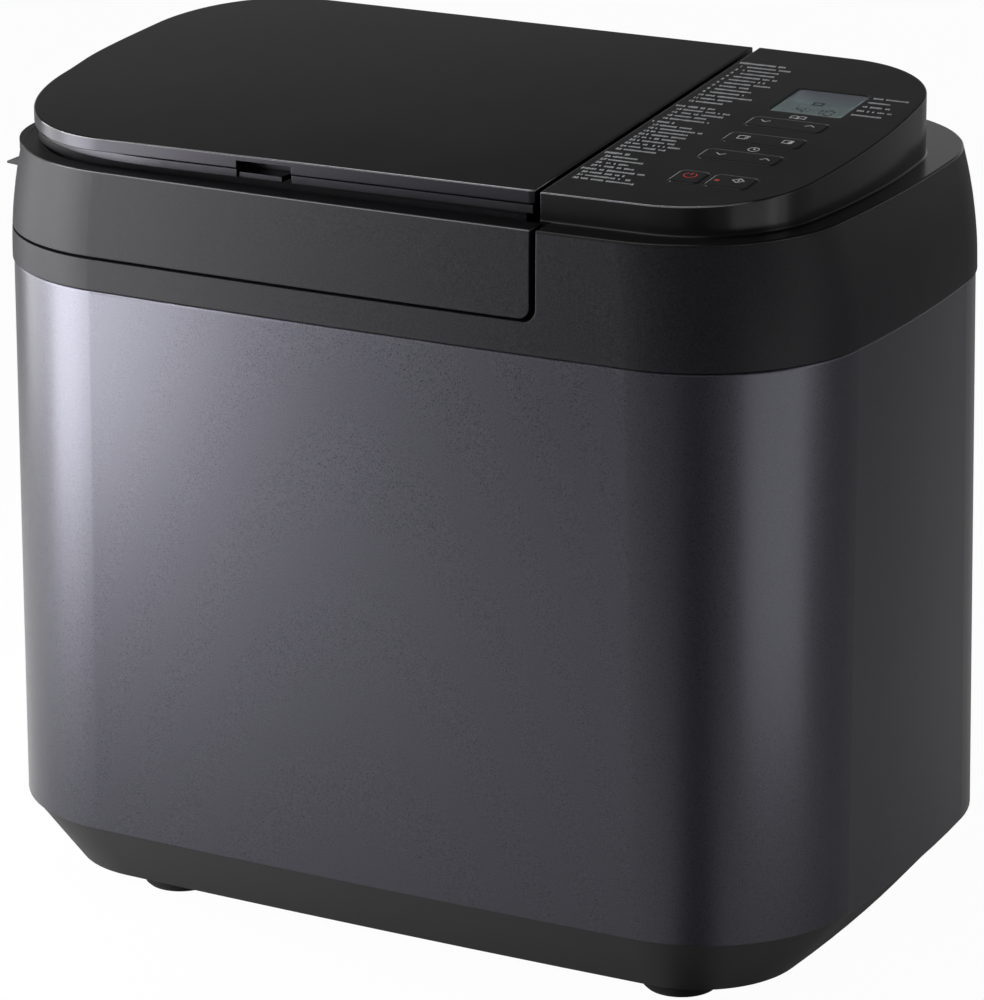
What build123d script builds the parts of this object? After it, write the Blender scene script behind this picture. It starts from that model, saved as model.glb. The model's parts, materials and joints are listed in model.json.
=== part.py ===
from build123d import *
import math
import os

# Levels above the table, with the front facing -Y and the control side at +X
foot_height = 6.0
base_top = 35.0
wrap_top = 281.0
shelf_under = 290.0
shelf_top = 294.5
skirt_foot = 295.8
rim_level = 333.0

# The painted wrap leans in a little towards its top, where its shoulder turns in to a flange
body_width = 404.0
body_depth = 252.0
wrap_lean_x = 1.0
wrap_lean_y = 1.6
wrap_sheet = 0.8
wrap_corner_low = 70.0
wrap_corner_high = 74.0
wrap_shoulder = 1.5
wrap_flange = 5.0
side_bow = 2.0
face_bow = 1.5

# Rear panel with its louvres and the cord gland
rear_panel_half = 118.0
louvre_length = 44.0
louvre_height = 4.0
louvre_spread = 40.0
louvre_low = 200.0
louvre_pitch = 9.0
louvre_rows = 7
gland_x = 88.0
gland_z = 66.0
gland_radius = 8.0
gland_bore = 3.6
gland_length = 14.0
gland_flange = 4.0

# The base tapers to a smaller sole with rows of slots
sole_width = 354.0
sole_depth = 212.0
sole_corner = 45.5
base_wall = 3.0
sole_slot_length = 56.0
sole_slot_width = 5.0
sole_slot_pitch = (70.0, 12.0)
sole_slot_count = (3, 4)
sole_slot_place = (10.0, 60.0)

# Upper ring, whose wall curves in towards its bevelled rim
ring_step = 0.5
ring_rim_half_x = 193.0
ring_rim_half_y = 124.0
ring_rim_corner = 70.0
ring_mid_share = 0.52
ring_bevel = 0.5
ring_wall = 2.5
lid_wall = 3.0

# Sloping top: height over the centre line and rise towards the rear
top_mid = 354.2
top_tilt = 4.69
plate_left = -192.8
plate_right = 79.4
plate_front = -110.3
plate_rear = 93.5
plate_corner = 50.0
plate_bow_x = 3.2
plate_bow_y = 1.2
top_right = 184.0
plate_thick = 5.6
plate_edge = 0.7
frame_inset = 0.6
frame_depth = 9.6
frame_groove = 0.6
frame_groove_reach = 1.6
pedestal_inset = 6.5
pedestal_depth = 9.9
moat_floor = 328.0
moat_left = -191.5
moat_front = -113.0
moat_rear = 140.0
moat_corner = 56.0
lid_deck_under = 325.0
lid_over = 380.0
trough_front = 78.0
trough_floor = 344.5

# Seams between the lid and the fixed ring and console
skirt_right = 84.5
skirt_seam = 87.5
skirt_nose_round = 5.0
seam_nose_round = 6.0
lid_right = 80.0
console_left = 82.4
console_front = -110.3
console_rear = 95.0
console_corner = 54.0
console_bow_y = 1.9
console_edge = 0.6
console_foot = 0.6
ledge_thick = 1.0
nose_rear = -112.0
lid_rear = 94.0
seam_rear = 98.5

# Lid and dispenser lid hinge axes, both along X
lid_axis_y = 105.0
lid_axis_z = 326.0
lid_pin_radius = 2.5
lid_ear_places = (-106.0, 28.0)
lid_ear_half = 12.0
lid_ear_radius = 7.0
hinge_block_half = 22.0
hinge_block_low = 308.0
hinge_block_rear = 118.0
hinge_slot_half = 13.0
hinge_slot_low = 315.0
hinge_slot_rear = 114.5
cover_axis_y = 86.0
cover_axis_depth = 7.9
cover_pin_radius = 1.2
cover_pin_half = 12.0
cover_lug_places = (-150.0, 40.0)
cover_lug_half = 3.0
cover_lug_radius = 2.0
cover_lug_gap = 0.5

# Finger recess and pull tab in the front edge of the dispenser lid
recess_left = -61.4
recess_right = -35.4
recess_top = 342.5
recess_reach = 9.0
tab_left = -61.0
tab_right = -40.5
tab_top = 337.6
tab_setback = 0.4
tab_round = 1.5

# Steam vent lip on the left of the lid, over two slots
vent_reach = 6.0
vent_front = -62.0
vent_rear = 34.0
vent_middle = 313.5
vent_half = 3.2
vent_rise = 1.5
vent_lip_high = 0.3
vent_lip_low = 0.6
vent_slot_low = 304.0
vent_slot_height = 2.5
vent_slot_pitch = 5.0
vent_slot_margin = 6.0
vent_slot_reach = -190.0

# Baking chamber and the drive axis at its middle
axis_x = -58.0
axis_y = -8.0
chamber_width = 204.0
chamber_depth = 180.0
chamber_corner = 30.0
chamber_floor = 72.0
chamber_sheet = 0.8
flange_reach = 8.0
flange_level = 292.5
flange_gap = 0.4

# Bread pan
pan_floor = 93.5
pan_rim = 222.0
pan_width = 154.0
pan_depth = 134.0
pan_corner = 26.0
pan_draft = 5.0
pan_wall = 1.6
pan_base = 2.0
pan_rim_reach = 3.0
pan_rim_roll = 2.5
pan_foot_radius = 45.5
pan_foot_wall = 3.0
pan_foot_drop = 16.0
pan_boss_radius = 7.0
seat_radius = 46.0
seat_wall = 4.0
seat_flange = 14.0
seat_sheet = 2.0
seat_gap = 0.5
bushing_height = 3.5
handle_level = 212.0
handle_half = 84.5
handle_reach = 76.5
handle_bend = 34.0
handle_bar = 3.0
handle_height = 8.0
handle_eye = 6.5
handle_gap = 0.3
stud_radius = 3.0
stud_head = 5.0
stud_head_thick = 2.0

# Drive train: pulleys share one belt level
shaft_radius = 5.0
pan_shaft_radius = 4.0
motor_x = 110.0
motor_radius = 34.0
motor_wall = 2.0
motor_top = 128.0
motor_edge = 4.0
motor_boss = 12.0
motor_boss_height = 8.0
motor_spigot = 15.0
motor_shaft_radius = 3.0
motor_shaft_depth = 24.0
stator_low = 76.0
stator_high = 112.0
motor_vent_width = 12.0
motor_vent_height = 7.0
motor_vent_count = 6
chassis_under = 57.0
chassis_top = 59.0
chassis_length = 290.0
chassis_width = 96.0
chassis_corner = 14.0
chassis_middle_x = 22.0
chassis_post_x = (-108.0, 152.0)
chassis_post_y = 40.0
chassis_post_radius = 6.0
pulley_low = 34.0
pulley_high = 48.0
pulley_radius = 46.0
pinion_radius = 9.0
pulley_flange = 3.0
flange_thick = 1.5
relief_ring = 27.0
relief_radius = 9.0
relief_count = 6
belt_thick = 1.8
belt_gap = 0.3
run_gap = 0.05
bearing_radius = 9.0
bearing_flange = 6.0
bearing_flange_thick = 4.0
bearing_below = 5.0
bearing_above = 2.0
driver_low = 77.0
driver_high = 83.0
driver_length = 30.0
driver_width = 8.0
driver_corner = 3.0
driver_hub = 8.0
follower_radius = 15.0
follower_reach = 11.7
follower_half_x = 4.0
follower_half_y = 3.0
follower_gap = 0.5
follower_low = 84.5
follower_high = 91.5
follower_leg_top = 90.5

# Kneading blade, a fin with a swept crown on a hub
blade_low = 97.4
blade_top = 118.0
blade_hub = 9.0
blade_foot = 46.0
blade_tip = (50.0, 22.0)
blade_crown = (30.0, 38.0)
blade_root = 22.0
blade_half_thick = 2.6
heel_length = 22.0
heel_width = 9.0
heel_round = 4.0
heel_height = 12.0
heel_offset = 10.0

# Heating element, a tube loop round the foot of the pan
heater_level = 90.0
heater_tube = 3.25
heater_half_x = 91.0
heater_half_y = 79.0
heater_bend = 28.0
heater_end_bend = 9.0
heater_tail = 16.0
heater_tail_reach = 14.0
clip_half = 4.0
clip_deep = 5.0
probe_radius = 3.0
probe_level = 160.0
probe_inside = 8.0
probe_outside = 16.0
probe_nut_radius = 6.0
probe_nut_reach = 6.0

# Fruit and nut dispenser with its drop flap
bin_left = -112.0
bin_right = -8.0
bin_front = 14.0
bin_rear = 72.0
bin_wall = 2.0
bin_foot = 300.5
bin_top_depth = 8.0
bin_flange = 5.0
bin_flange_rear = 2.0
bin_ear_half = 3.0
bin_ear_drop = 2.6
mouth_margin = 9.0
mouth_margin_rear = 5.0
flap_axis_y = 69.0
flap_axis_z = 298.0
flap_front = 17.0
flap_thick = 2.0
flap_side_gap = 0.5
flap_rib_count = 3
flap_rib_half = 1.0
flap_rib_margin = 4.0
flap_rib_drop = 2.0
flap_barrel = 1.9
flap_pin_radius = 1.0
liner_low = 297.0
liner_high = 299.0
liner_gap = 1.5
liner_gap_rear = 4.0
seal_low = 293.8
seal_outer = 7.0
seal_inner = 1.5

# Solenoid beside the bin that holds the flap
coil_radius = 8.0
coil_left = 4.0
coil_right = 34.0
coil_y = 40.0
yoke_sheet = 2.0
yoke_half = 11.0
yoke_height = 22.0
plunger_radius = 2.5
plunger_tip = -3.0

# Control panel, laid out on the sloping top
key_middle_x = 139.4
rocker_width = 35.0
rocker_depth = 12.6
rocker_rows = {"program": 1.2, "option": -20.4, "timer": -43.0}
stop_middle_x = 130.6
stop_width = 13.6
start_middle_x = 149.4
start_width = 19.2
push_row_y = -72.4
push_depth = 15.0
push_flange = 0.7
push_flange_low = 4.7
push_flange_high = 3.5
key_corner = 3.0
key_gap = 0.35
key_proud = 0.3
key_thick = 1.8
key_slope = 0.75
key_slope_drop = 0.2
key_foot_radius = 1.6
push_foot_gap = 0.3
panel_skin = 2.5
pivot_depth = 4.4
pivot_radius = 1.0
pivot_reach = 3.2
pivot_web_half = 2.0
pivot_web_margin = 1.0
lug_half_x = 2.4
lug_half_y = 1.2
lug_offset = 2.2
lug_below = 2.2
board_depth = 10.0
board_thick = 1.6
board_corner = 3.0
board_left = 96.0
board_right = 162.0
board_front = -86.0
board_rear = 70.0
board_posts = ((100.0, -78.0), (158.0, -40.0), (100.0, 62.0), (158.0, 62.0))
board_post_radius = 2.5
switch_spread = 10.5
switch_reach = 3.4
switch_height = 2.6
switch_half = 3.0
switch_case = 1.6
switch_button = 1.7
lamp_x = 143.0
lamp_radius = 1.0
lamp_depth = 1.0
screen_x = 139.9
screen_y = 32.4
screen_width = 33.0
screen_depth = 31.6
screen_corner = 1.5
screen_gap = 0.3
screen_case = 2.5
lens_thick = 1.2
deck_hole = (58.0, 120.0)
deck_hole_corner = 8.0
deck_hole_y = -6.0

# Supply board under the control bay
power_level = 316.0
power_posts = ((100.0, -74.0), (170.0, -74.0), (100.0, 62.0), (170.0, 62.0))
power_post_radius = 4.0
power_margin_x = 5.0
power_margin_y = 6.0
transformer_size = (34.0, 38.0, 26.0)
transformer_place = (-3.0, -41.0)
capacitor_radius = 8.0
capacitor_height = 20.0
capacitor_pitch = 18.0
capacitor_y = 20.0

# Feet, set further in on the left
foot_places = ((-114.0, -84.0), (134.0, -84.0), (-114.0, 84.0), (134.0, 84.0))
foot_radius = 16.5
foot_chamfer = 1.2
spigot_radius = 5.0

# The vent lip widens the left side, so the body stands right of the frame's origin by half of it
ring_foot_half_x = body_width / 2 - wrap_lean_x + ring_step
ring_foot_half_y = body_depth / 2 - wrap_lean_y + ring_step
vent_tip = -ring_foot_half_x - vent_reach
frame_shift = -(vent_tip + body_width / 2) / 2
far = 400.0


def outline(left, right, front, rear, radius, bow_x, bow_y):
    # Rounded rectangle with outward bowed sides, drawn as eight tangent arcs
    corner_x = (right - left) / 2 - radius - bow_x
    corner_y = (rear - front) / 2 - radius - bow_y
    swing_x = math.asin(2 * bow_x * corner_y / (corner_y**2 + bow_x**2))
    swing_y = math.asin(2 * bow_y * corner_x / (corner_x**2 + bow_y**2))
    side_end = (corner_x + radius * math.cos(swing_x), corner_y + radius * math.sin(swing_x))
    face_end = (corner_x + radius * math.sin(swing_y), corner_y + radius * math.cos(swing_y))
    turn = (swing_x + math.pi / 2 - swing_y) / 2
    turn_mid = (corner_x + radius * math.cos(turn), corner_y + radius * math.sin(turn))
    side_mid = (right - left) / 2
    face_mid = (rear - front) / 2
    arcs = Curve()
    for sx in (-1, 1):
        arcs += ThreePointArc(
            (sx * side_end[0], -side_end[1]), (sx * side_mid, 0), (sx * side_end[0], side_end[1])
        )
        arcs += ThreePointArc(
            (-face_end[0], sx * face_end[1]), (0, sx * face_mid), (face_end[0], sx * face_end[1])
        )
        for sy in (-1, 1):
            arcs += ThreePointArc(
                (sx * side_end[0], sy * side_end[1]),
                (sx * turn_mid[0], sy * turn_mid[1]),
                (sx * face_end[0], sy * face_end[1]),
            )
    return Pos((left + right) / 2, (front + rear) / 2) * make_face(arcs)


def block(x0, x1, y0, y1, z0, z1):
    # Box between two opposite corners
    corner = (Align.MIN, Align.MIN, Align.MIN)
    return Pos(x0, y0, z0) * Box(x1 - x0, y1 - y0, z1 - z0, align=corner)


def slice_between(z0, z1):
    # Wide slab between two levels
    return block(-far, far, -far, far, z0, z1)


def rod(radius, z0, z1, x=0.0, y=0.0):
    # Upright cylinder between two levels
    return Pos(x, y, z0) * Cylinder(radius, z1 - z0, align=(Align.CENTER, Align.CENTER, Align.MIN))


def rod_x(radius, x0, x1, y, z):
    # Cylinder lying along X
    return Pos(x0, y, z) * Rot(0, 90, 0) * rod(radius, 0, x1 - x0)


def rod_y(radius, x, y0, y1, z):
    # Cylinder lying along Y
    return Pos(x, y0, z) * Rot(-90, 0, 0) * rod(radius, 0, y1 - y0)


def rounded(width, depth, radius, z0, z1, x=0.0, y=0.0):
    # Upright prism of a rounded rectangle
    return Pos(x, y, z0) * extrude(RectangleRounded(width, depth, radius), amount=z1 - z0)


def both_sides(piece):
    # A piece and its mirror image across X
    return [piece, mirror(piece, Plane.YZ)]


def top_height(y):
    # Height of the sloping top over a line at this depth
    return top_mid + y * math.tan(math.radians(top_tilt))


def on_top(x, y, depth=0.0):
    # Place on the sloping top, sunk square to it
    return Pos(x, y, top_height(y)) * Rot(top_tilt, 0, 0) * Pos(0, 0, -depth)


def layer(upper, lower):
    # Slab parallel to the sloping top between two depths below it
    return on_top(0, 0, upper) * block(-far, far, -far, far, upper - lower, 0)


def wrap_solid(inset):
    # Body of the wrap, drawn in by a sheet thickness or not at all
    sections = []
    for z, lean, radius in ((base_top, 0, wrap_corner_low), (wrap_top, 1, wrap_corner_high)):
        half_x = body_width / 2 - lean * wrap_lean_x - inset
        half_y = body_depth / 2 - lean * wrap_lean_y - inset
        face = outline(-half_x, half_x, -half_y, half_y, radius - inset, side_bow, face_bow)
        sections.append(Pos(0, 0, z) * face)
    return loft(sections, ruled=True)


def ring_face(share, inset, z):
    # Outline of the upper ring at a share of its height
    lean = share**2
    half_x = ring_foot_half_x + lean * (ring_rim_half_x - ring_foot_half_x) - inset
    half_y = ring_foot_half_y + lean * (ring_rim_half_y - ring_foot_half_y) - inset
    radius = wrap_corner_high + lean * (ring_rim_corner - wrap_corner_high) - inset
    return Pos(0, 0, z) * outline(-half_x, half_x, -half_y, half_y, radius, side_bow, face_bow)


def ring_solid(inset):
    # Upper ring, its wall drawn in along a parabola and bevelled at the rim
    bevel_foot = rim_level - ring_bevel
    sections = []
    for share in (0.0, ring_mid_share, 1.0):
        sections.append(ring_face(share, inset, wrap_top + share * (bevel_foot - wrap_top)))
    rim = [ring_face(1.0, inset, bevel_foot), ring_face(1.0, inset + ring_bevel, rim_level)]
    return loft(sections) + loft(rim, ruled=True)


def plate_prism(inset, z0, z1):
    # Upright prism over the outline of the lid plate, drawn in evenly
    face = outline(
        plate_left + inset,
        top_right - inset,
        plate_front + inset,
        plate_rear - inset,
        plate_corner - inset,
        plate_bow_x,
        plate_bow_y,
    )
    prism = Pos(0, 0, z0) * extrude(face, amount=z1 - z0)
    return prism & block(-far, plate_right - inset, -far, far, z0, z1)


def chamber_prism(grow, z0, z1):
    # Upright prism over the outline of the baking chamber
    width = chamber_width + 2 * grow
    depth = chamber_depth + 2 * grow
    return rounded(width, depth, chamber_corner + grow, z0, z1, axis_x, axis_y)


def pan_prism(inset, z0, z1):
    # Bread pan with draft, its outline drawn in by the wall
    low = Pos(0, 0, z0) * RectangleRounded(
        pan_width - 2 * pan_draft - 2 * inset,
        pan_depth - 2 * pan_draft - 2 * inset,
        pan_corner - pan_draft / 2 - inset,
    )
    high = Pos(0, 0, z1) * RectangleRounded(
        pan_width - 2 * inset, pan_depth - 2 * inset, pan_corner - inset
    )
    return Pos(axis_x, axis_y) * loft([low, high], ruled=True)


def tray_solid(inset, floor):
    # Body of the base tray above a floor level, drawn in by its wall
    sole = (sole_width / 2, sole_depth / 2, sole_corner, floor)
    brim = (body_width / 2 - ring_step, body_depth / 2 - ring_step, wrap_corner_low, base_top)
    faces = []
    for half_x, half_y, radius, z in (sole, brim):
        x = half_x - inset
        y = half_y - inset
        faces.append(Pos(0, 0, z) * outline(-x, x, -y, y, radius - inset, side_bow, face_bow))
    return loft(faces, ruled=True)


def base_tray():
    # Bevelled tray with vent slots and sockets for the feet
    tray = tray_solid(0.0, foot_height) - tray_solid(base_wall, foot_height + base_wall)
    slot = extrude(SlotOverall(sole_slot_length, sole_slot_width), amount=base_top)
    for place in GridLocations(*sole_slot_pitch, *sole_slot_count):
        tray -= Pos(*sole_slot_place) * place * slot
    for x, y in foot_places:
        tray -= rod(spigot_radius, 0, base_top, x, y)
    return tray


def feet():
    # Rubber feet with a spigot pushed into the sole
    pads = []
    for x, y in foot_places:
        pad = rod(foot_radius, 0, foot_height, x, y)
        pad = chamfer(pad.edges().sort_by(Axis.Z)[0], foot_chamfer)
        pads.append(pad + rod(spigot_radius, foot_height, foot_height + base_wall, x, y))
    return Part() + pads


def wrap_sheet_ring():
    # Closed sheet with a rounded shoulder and a flange turned in at its top
    body = wrap_solid(0.0)
    body = fillet(body.faces().sort_by(Axis.Z)[-1].edges(), wrap_shoulder)
    inside = wrap_solid(wrap_sheet) & slice_between(0, wrap_top - wrap_sheet)
    return body - inside - wrap_solid(wrap_shoulder + wrap_flange)


def rear_gap():
    # Space of the rear panel between the rear corners
    return block(-rear_panel_half, rear_panel_half, 0, far, 0, far)


def body_wrap():
    # Painted sheet round the front, sides and rear corners
    return wrap_sheet_ring() - rear_gap()


def rear_panel():
    # Back sheet with louvre slots and the hole for the cord gland
    panel = wrap_sheet_ring() & rear_gap()
    slot = Rot(90, 0, 0) * extrude(SlotOverall(louvre_length, louvre_height), amount=gland_length, both=True)
    for row in range(louvre_rows):
        for side in (-1, 1):
            panel -= Pos(side * louvre_spread, body_depth / 2, louvre_low + louvre_pitch * row) * slot
    outer = body_depth / 2
    return panel - rod_y(gland_radius, gland_x, outer - gland_length, outer + gland_length, gland_z)


def cord_gland():
    # Flanged bush where a supply cord would enter
    outer = body_depth / 2
    inner = outer - gland_length
    bush = rod_y(gland_radius, gland_x, inner, outer, gland_z)
    bush += rod_y(gland_radius + gland_flange, gland_x, inner, inner + gland_flange, gland_z)
    return bush - rod_y(gland_bore, gland_x, inner - 1, outer + 1, gland_z)


def round_nose(nose, radius):
    # Nose block with its lower right edge rounded
    edge = nose.edges().filter_by(Axis.Y).group_by(Axis.Z)[0].sort_by(Axis.X)[-1]
    return fillet(edge, radius)


def lid_gap():
    # Space that the ring leaves for the lid, with a nose across the front
    nose = block(-far, skirt_seam, -far, console_front + 1, shelf_top, far)
    return round_nose(nose, seam_nose_round) + block(
        -far, console_left, console_front, seam_rear, shelf_top, far
    )


def upper_housing():
    # Ring with a shelf round the chamber mouth, a control bay and the hinge blocks
    low = wrap_top - ring_wall
    deck = rim_level - ring_wall
    inside = ring_solid(ring_wall)
    ring = ring_solid(0.0) - (inside & slice_between(low, shelf_under))
    ring -= inside & block(skirt_seam + ring_wall, far, -far, far, low, deck)
    ring -= inside & block(-far, far, seam_rear + ring_wall, far, low, deck)
    ring -= lid_gap()
    ring -= block(console_left, far, -far, far, rim_level - ledge_thick, far)
    ring -= chamber_prism(chamber_sheet, low, shelf_top + 1)
    ring -= chamber_prism(flange_reach + flange_gap, flange_level, shelf_top + 1)
    ring -= rounded(*deck_hole, deck_hole_corner, deck - ring_wall, far, key_middle_x, deck_hole_y)
    for x in lid_ear_places:
        ring = ring + hinge_block(x) - hinge_room(x)
    for x, y in power_posts:
        ring += rod(power_post_radius, power_level + board_thick, deck, x, y)
    return ring


def hinge_block(x):
    # Block behind the lid that holds one hinge pin
    return block(
        x - hinge_block_half, x + hinge_block_half, seam_rear, hinge_block_rear, hinge_block_low, rim_level
    )


def hinge_room(x):
    # Slot for one of the lid's ears and the bore of its pin
    slot = block(
        x - hinge_slot_half, x + hinge_slot_half, seam_rear - 1, hinge_slot_rear, hinge_slot_low, far
    )
    reach = hinge_block_half + 1
    return slot + rod_x(lid_pin_radius, x - reach, x + reach, lid_axis_y, lid_axis_z)


def lid_hinge_pins():
    # Steel pins held in the hinge blocks, carrying the lid's ears
    return Part() + [
        rod_x(lid_pin_radius, x - hinge_block_half, x + hinge_block_half, lid_axis_y, lid_axis_z)
        for x in lid_ear_places
    ]


def console_face(grow):
    # Outline of the console in plan, continued under the lid
    return outline(
        plate_left, top_right + grow, console_front - grow, console_rear + grow,
        console_corner + grow, plate_bow_x, console_bow_y,
    )


def console_prism(grow, z0):
    # Upright prism over the console's outline
    return Pos(0, 0, z0) * extrude(console_face(grow), amount=lid_over - z0)


def console_shell():
    # Hollow console wall with its sloping top, standing on a thin ledge over the ring's rim
    right = block(console_left, far, -far, far, rim_level - ledge_thick, far)
    wall = console_prism(0.0, rim_level) & right & layer(0, far)
    rim = wall.faces().filter_by(GeomType.PLANE).sort_by(Axis.Z)[-1]
    wall = fillet(rim.edges(), console_edge)
    foot = Pos(0, 0, rim_level) * console_face(console_foot)
    foot_top = Pos(0, 0, rim_level + console_foot) * console_face(0.0)
    wall += loft([foot, foot_top], ruled=True) & right
    ledge = (ring_solid(0.0) & right) - lid_gap()
    inside = block(console_left + panel_skin, far, -far, far, 0, far) & layer(panel_skin, far)
    return wall + ledge - (console_prism(-panel_skin, rim_level - 2 * ledge_thick) & inside)


def control_console():
    # Console with openings for the screen and the keys, board posts and pivot lugs
    shell = console_shell()
    for x, y in board_posts:
        shell += on_top(x, y, board_depth) * rod(board_post_radius, 0, board_depth - panel_skin / 2)
    for y in rocker_rows.values():
        shell -= on_top(key_middle_x, y) * key_hole(rocker_width, rocker_depth)
        for lug in rocker_lugs():
            shell += on_top(key_middle_x, y) * lug
    shell -= on_top(stop_middle_x, push_row_y) * key_hole(stop_width, push_depth)
    shell -= on_top(start_middle_x, push_row_y) * key_hole(start_width, push_depth)
    return shell - on_top(screen_x, screen_y) * rounded(
        screen_width, screen_depth, screen_corner, -2 * panel_skin, 2 * panel_skin
    )


def key_hole(width, depth):
    # Opening that clears a key all round
    return rounded(
        width + 2 * key_gap, depth + 2 * key_gap, key_corner + key_gap, -2 * panel_skin, 2 * panel_skin
    )


def rocker_lugs():
    # Bearing lugs under the panel for both ends of a rocker's pivot
    lugs = []
    for side in (-1, 1):
        y = side * (rocker_depth / 2 + lug_offset)
        lug = block(
            -lug_half_x, lug_half_x, y - lug_half_y, y + lug_half_y,
            -pivot_depth - lug_below, -panel_skin / 2,
        )
        lugs.append(lug - rod_y(pivot_radius + run_gap, 0, y - lug_offset, y + lug_offset, -pivot_depth))
    return lugs


def key_cap(width, depth, low):
    # Key pad whose top falls away a little to its edge
    edge = key_proud - key_slope_drop
    crown = [
        Pos(0, 0, edge) * RectangleRounded(width, depth, key_corner),
        Pos(0, 0, key_proud)
        * RectangleRounded(width - 2 * key_slope, depth - 2 * key_slope, key_corner - key_slope),
    ]
    return rounded(width, depth, key_corner, low, edge) + loft(crown, ruled=True)


def rocker(y):
    # Two-way key pad with its pivot and a foot over each switch
    half = rocker_depth / 2
    pad = key_cap(rocker_width, rocker_depth, key_proud - key_thick)
    pad += block(
        -pivot_web_half, pivot_web_half, pivot_web_margin - half, half - pivot_web_margin, -pivot_depth, 0
    )
    pad += rod_y(pivot_radius, 0, -half - pivot_reach, half + pivot_reach, -pivot_depth)
    for side in (-1, 1):
        pad += rod(key_foot_radius, switch_reach - board_depth, 0, side * switch_spread, 0)
    return on_top(key_middle_x, y) * pad


def program_rocker():
    # Key pad that steps through the programs
    return rocker(rocker_rows["program"])


def option_rocker():
    # Key pad for the loaf and crust options
    return rocker(rocker_rows["option"])


def timer_rocker():
    # Key pad for the clock
    return rocker(rocker_rows["timer"])


def push_key(x, width):
    # Plunger key with a retaining flange under the panel and a foot over its switch
    pad = key_cap(width, push_depth, -push_flange_low)
    pad += rounded(
        width + 2 * push_flange, push_depth + 2 * push_flange, key_corner,
        -push_flange_low, -push_flange_high,
    )
    pad += rod(key_foot_radius, switch_reach - board_depth + push_foot_gap, -panel_skin)
    return on_top(x, push_row_y) * pad


def stop_key():
    # Stop key
    return push_key(stop_middle_x, stop_width)


def start_key():
    # Start key with a socket for its lamp
    socket = on_top(lamp_x, push_row_y) * rod(lamp_radius, -lamp_depth, key_thick)
    return push_key(start_middle_x, start_width) - socket


def start_lamp():
    # Red lens set flush in the start key
    return on_top(lamp_x, push_row_y) * rod(lamp_radius, -lamp_depth, key_proud)


def switch_places():
    # Push switch under each end of a rocker and under each plunger key
    places = []
    for y in rocker_rows.values():
        places += [(key_middle_x - switch_spread, y), (key_middle_x + switch_spread, y)]
    return places + [(stop_middle_x, push_row_y), (start_middle_x, push_row_y)]


def tact_switches():
    # Push switches standing on the control board
    half = switch_half
    switch = block(-half, half, -half, half, 0, switch_case) + rod(switch_button, 0, switch_height)
    return Part() + [on_top(x, y, board_depth) * switch for x, y in switch_places()]


def control_board():
    # Printed board hung parallel to the panel
    x = (board_left + board_right) / 2
    y = (board_front + board_rear) / 2
    board = rounded(board_right - board_left, board_rear - board_front, board_corner, -board_thick, 0)
    return on_top(x, y, board_depth) * board


def display_module():
    # Screen cell in its case on the board, its glass standing up into the window
    case = rounded(
        screen_width + 2 * screen_case, screen_depth + 2 * screen_case, screen_corner,
        -board_depth, -panel_skin,
    )
    glass = rounded(
        screen_width - 2 * screen_gap, screen_depth - 2 * screen_gap, screen_corner,
        -panel_skin, -lens_thick,
    )
    return on_top(screen_x, screen_y) * (case + glass)


def display_lens():
    # Clear window set in the panel, on the screen cell
    return on_top(screen_x, screen_y) * rounded(screen_width, screen_depth, screen_corner, -lens_thick, 0)


def power_board():
    # Supply board under the control bay with its tallest components
    (left, front), (right, rear) = power_posts[0], power_posts[-1]
    x = (left + right) / 2
    width = right - left + 2 * power_margin_x
    depth = rear - front + 2 * power_margin_y
    board = rounded(
        width, depth, board_corner, power_level, power_level + board_thick, x, (front + rear) / 2
    )
    core_x, core_y = transformer_place
    core = Box(*transformer_size, align=(Align.CENTER, Align.CENTER, Align.MAX))
    board += Pos(x + core_x, core_y, power_level) * core
    can = rod(capacitor_radius, power_level - capacitor_height, power_level)
    for place in GridLocations(capacitor_pitch, capacitor_pitch, 3, 1):
        board += Pos(x, capacitor_y) * place * can
    return board


def chamber_wall_x():
    # Right inner wall of the baking chamber
    return axis_x + chamber_width / 2


def baking_chamber():
    # Open sheet box hung by its flange, with holes for the drive, the probe and the heater ends
    box = chamber_prism(chamber_sheet, chamber_floor, flange_level + chamber_sheet)
    box += chamber_prism(flange_reach, flange_level, flange_level + chamber_sheet)
    box -= chamber_prism(0, chamber_floor + chamber_sheet, far)
    box -= rod(bearing_radius, 0, chamber_floor + bearing_above, axis_x, axis_y)
    wall = chamber_wall_x()
    for side in (-1, 1):
        y = axis_y + side * heater_tail
        box -= rod_x(heater_tube, wall - heater_tube, wall + heater_tube, y, heater_level)
    return box - rod_x(probe_radius, wall - probe_radius, wall + probe_radius, axis_y, probe_level)


def temperature_sensor():
    # Probe through the chamber wall with its nut outside
    wall = chamber_wall_x()
    probe = rod_x(probe_radius, wall - probe_inside, wall + probe_outside, axis_y, probe_level)
    return probe + rod_x(probe_nut_radius, wall + chamber_sheet, wall + probe_nut_reach, axis_y, probe_level)


def heating_element():
    # Bent tube that runs once round the chamber, both ends through the right wall
    tail = chamber_width / 2 + heater_tail_reach
    x = heater_half_x
    y = heater_half_y
    points = [
        (tail, heater_tail), (x, heater_tail), (x, y), (-x, y), (-x, -y), (x, -y),
        (x, -heater_tail), (tail, -heater_tail),
    ]
    bends = [heater_end_bend] + 4 * [heater_bend] + [heater_end_bend]
    path = FilletPolyline(*points, radius=bends)
    tube = sweep(Plane(origin=path @ 0, z_dir=path % 0) * Circle(heater_tube), path)
    return Pos(axis_x, axis_y, heater_level) * tube


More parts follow.
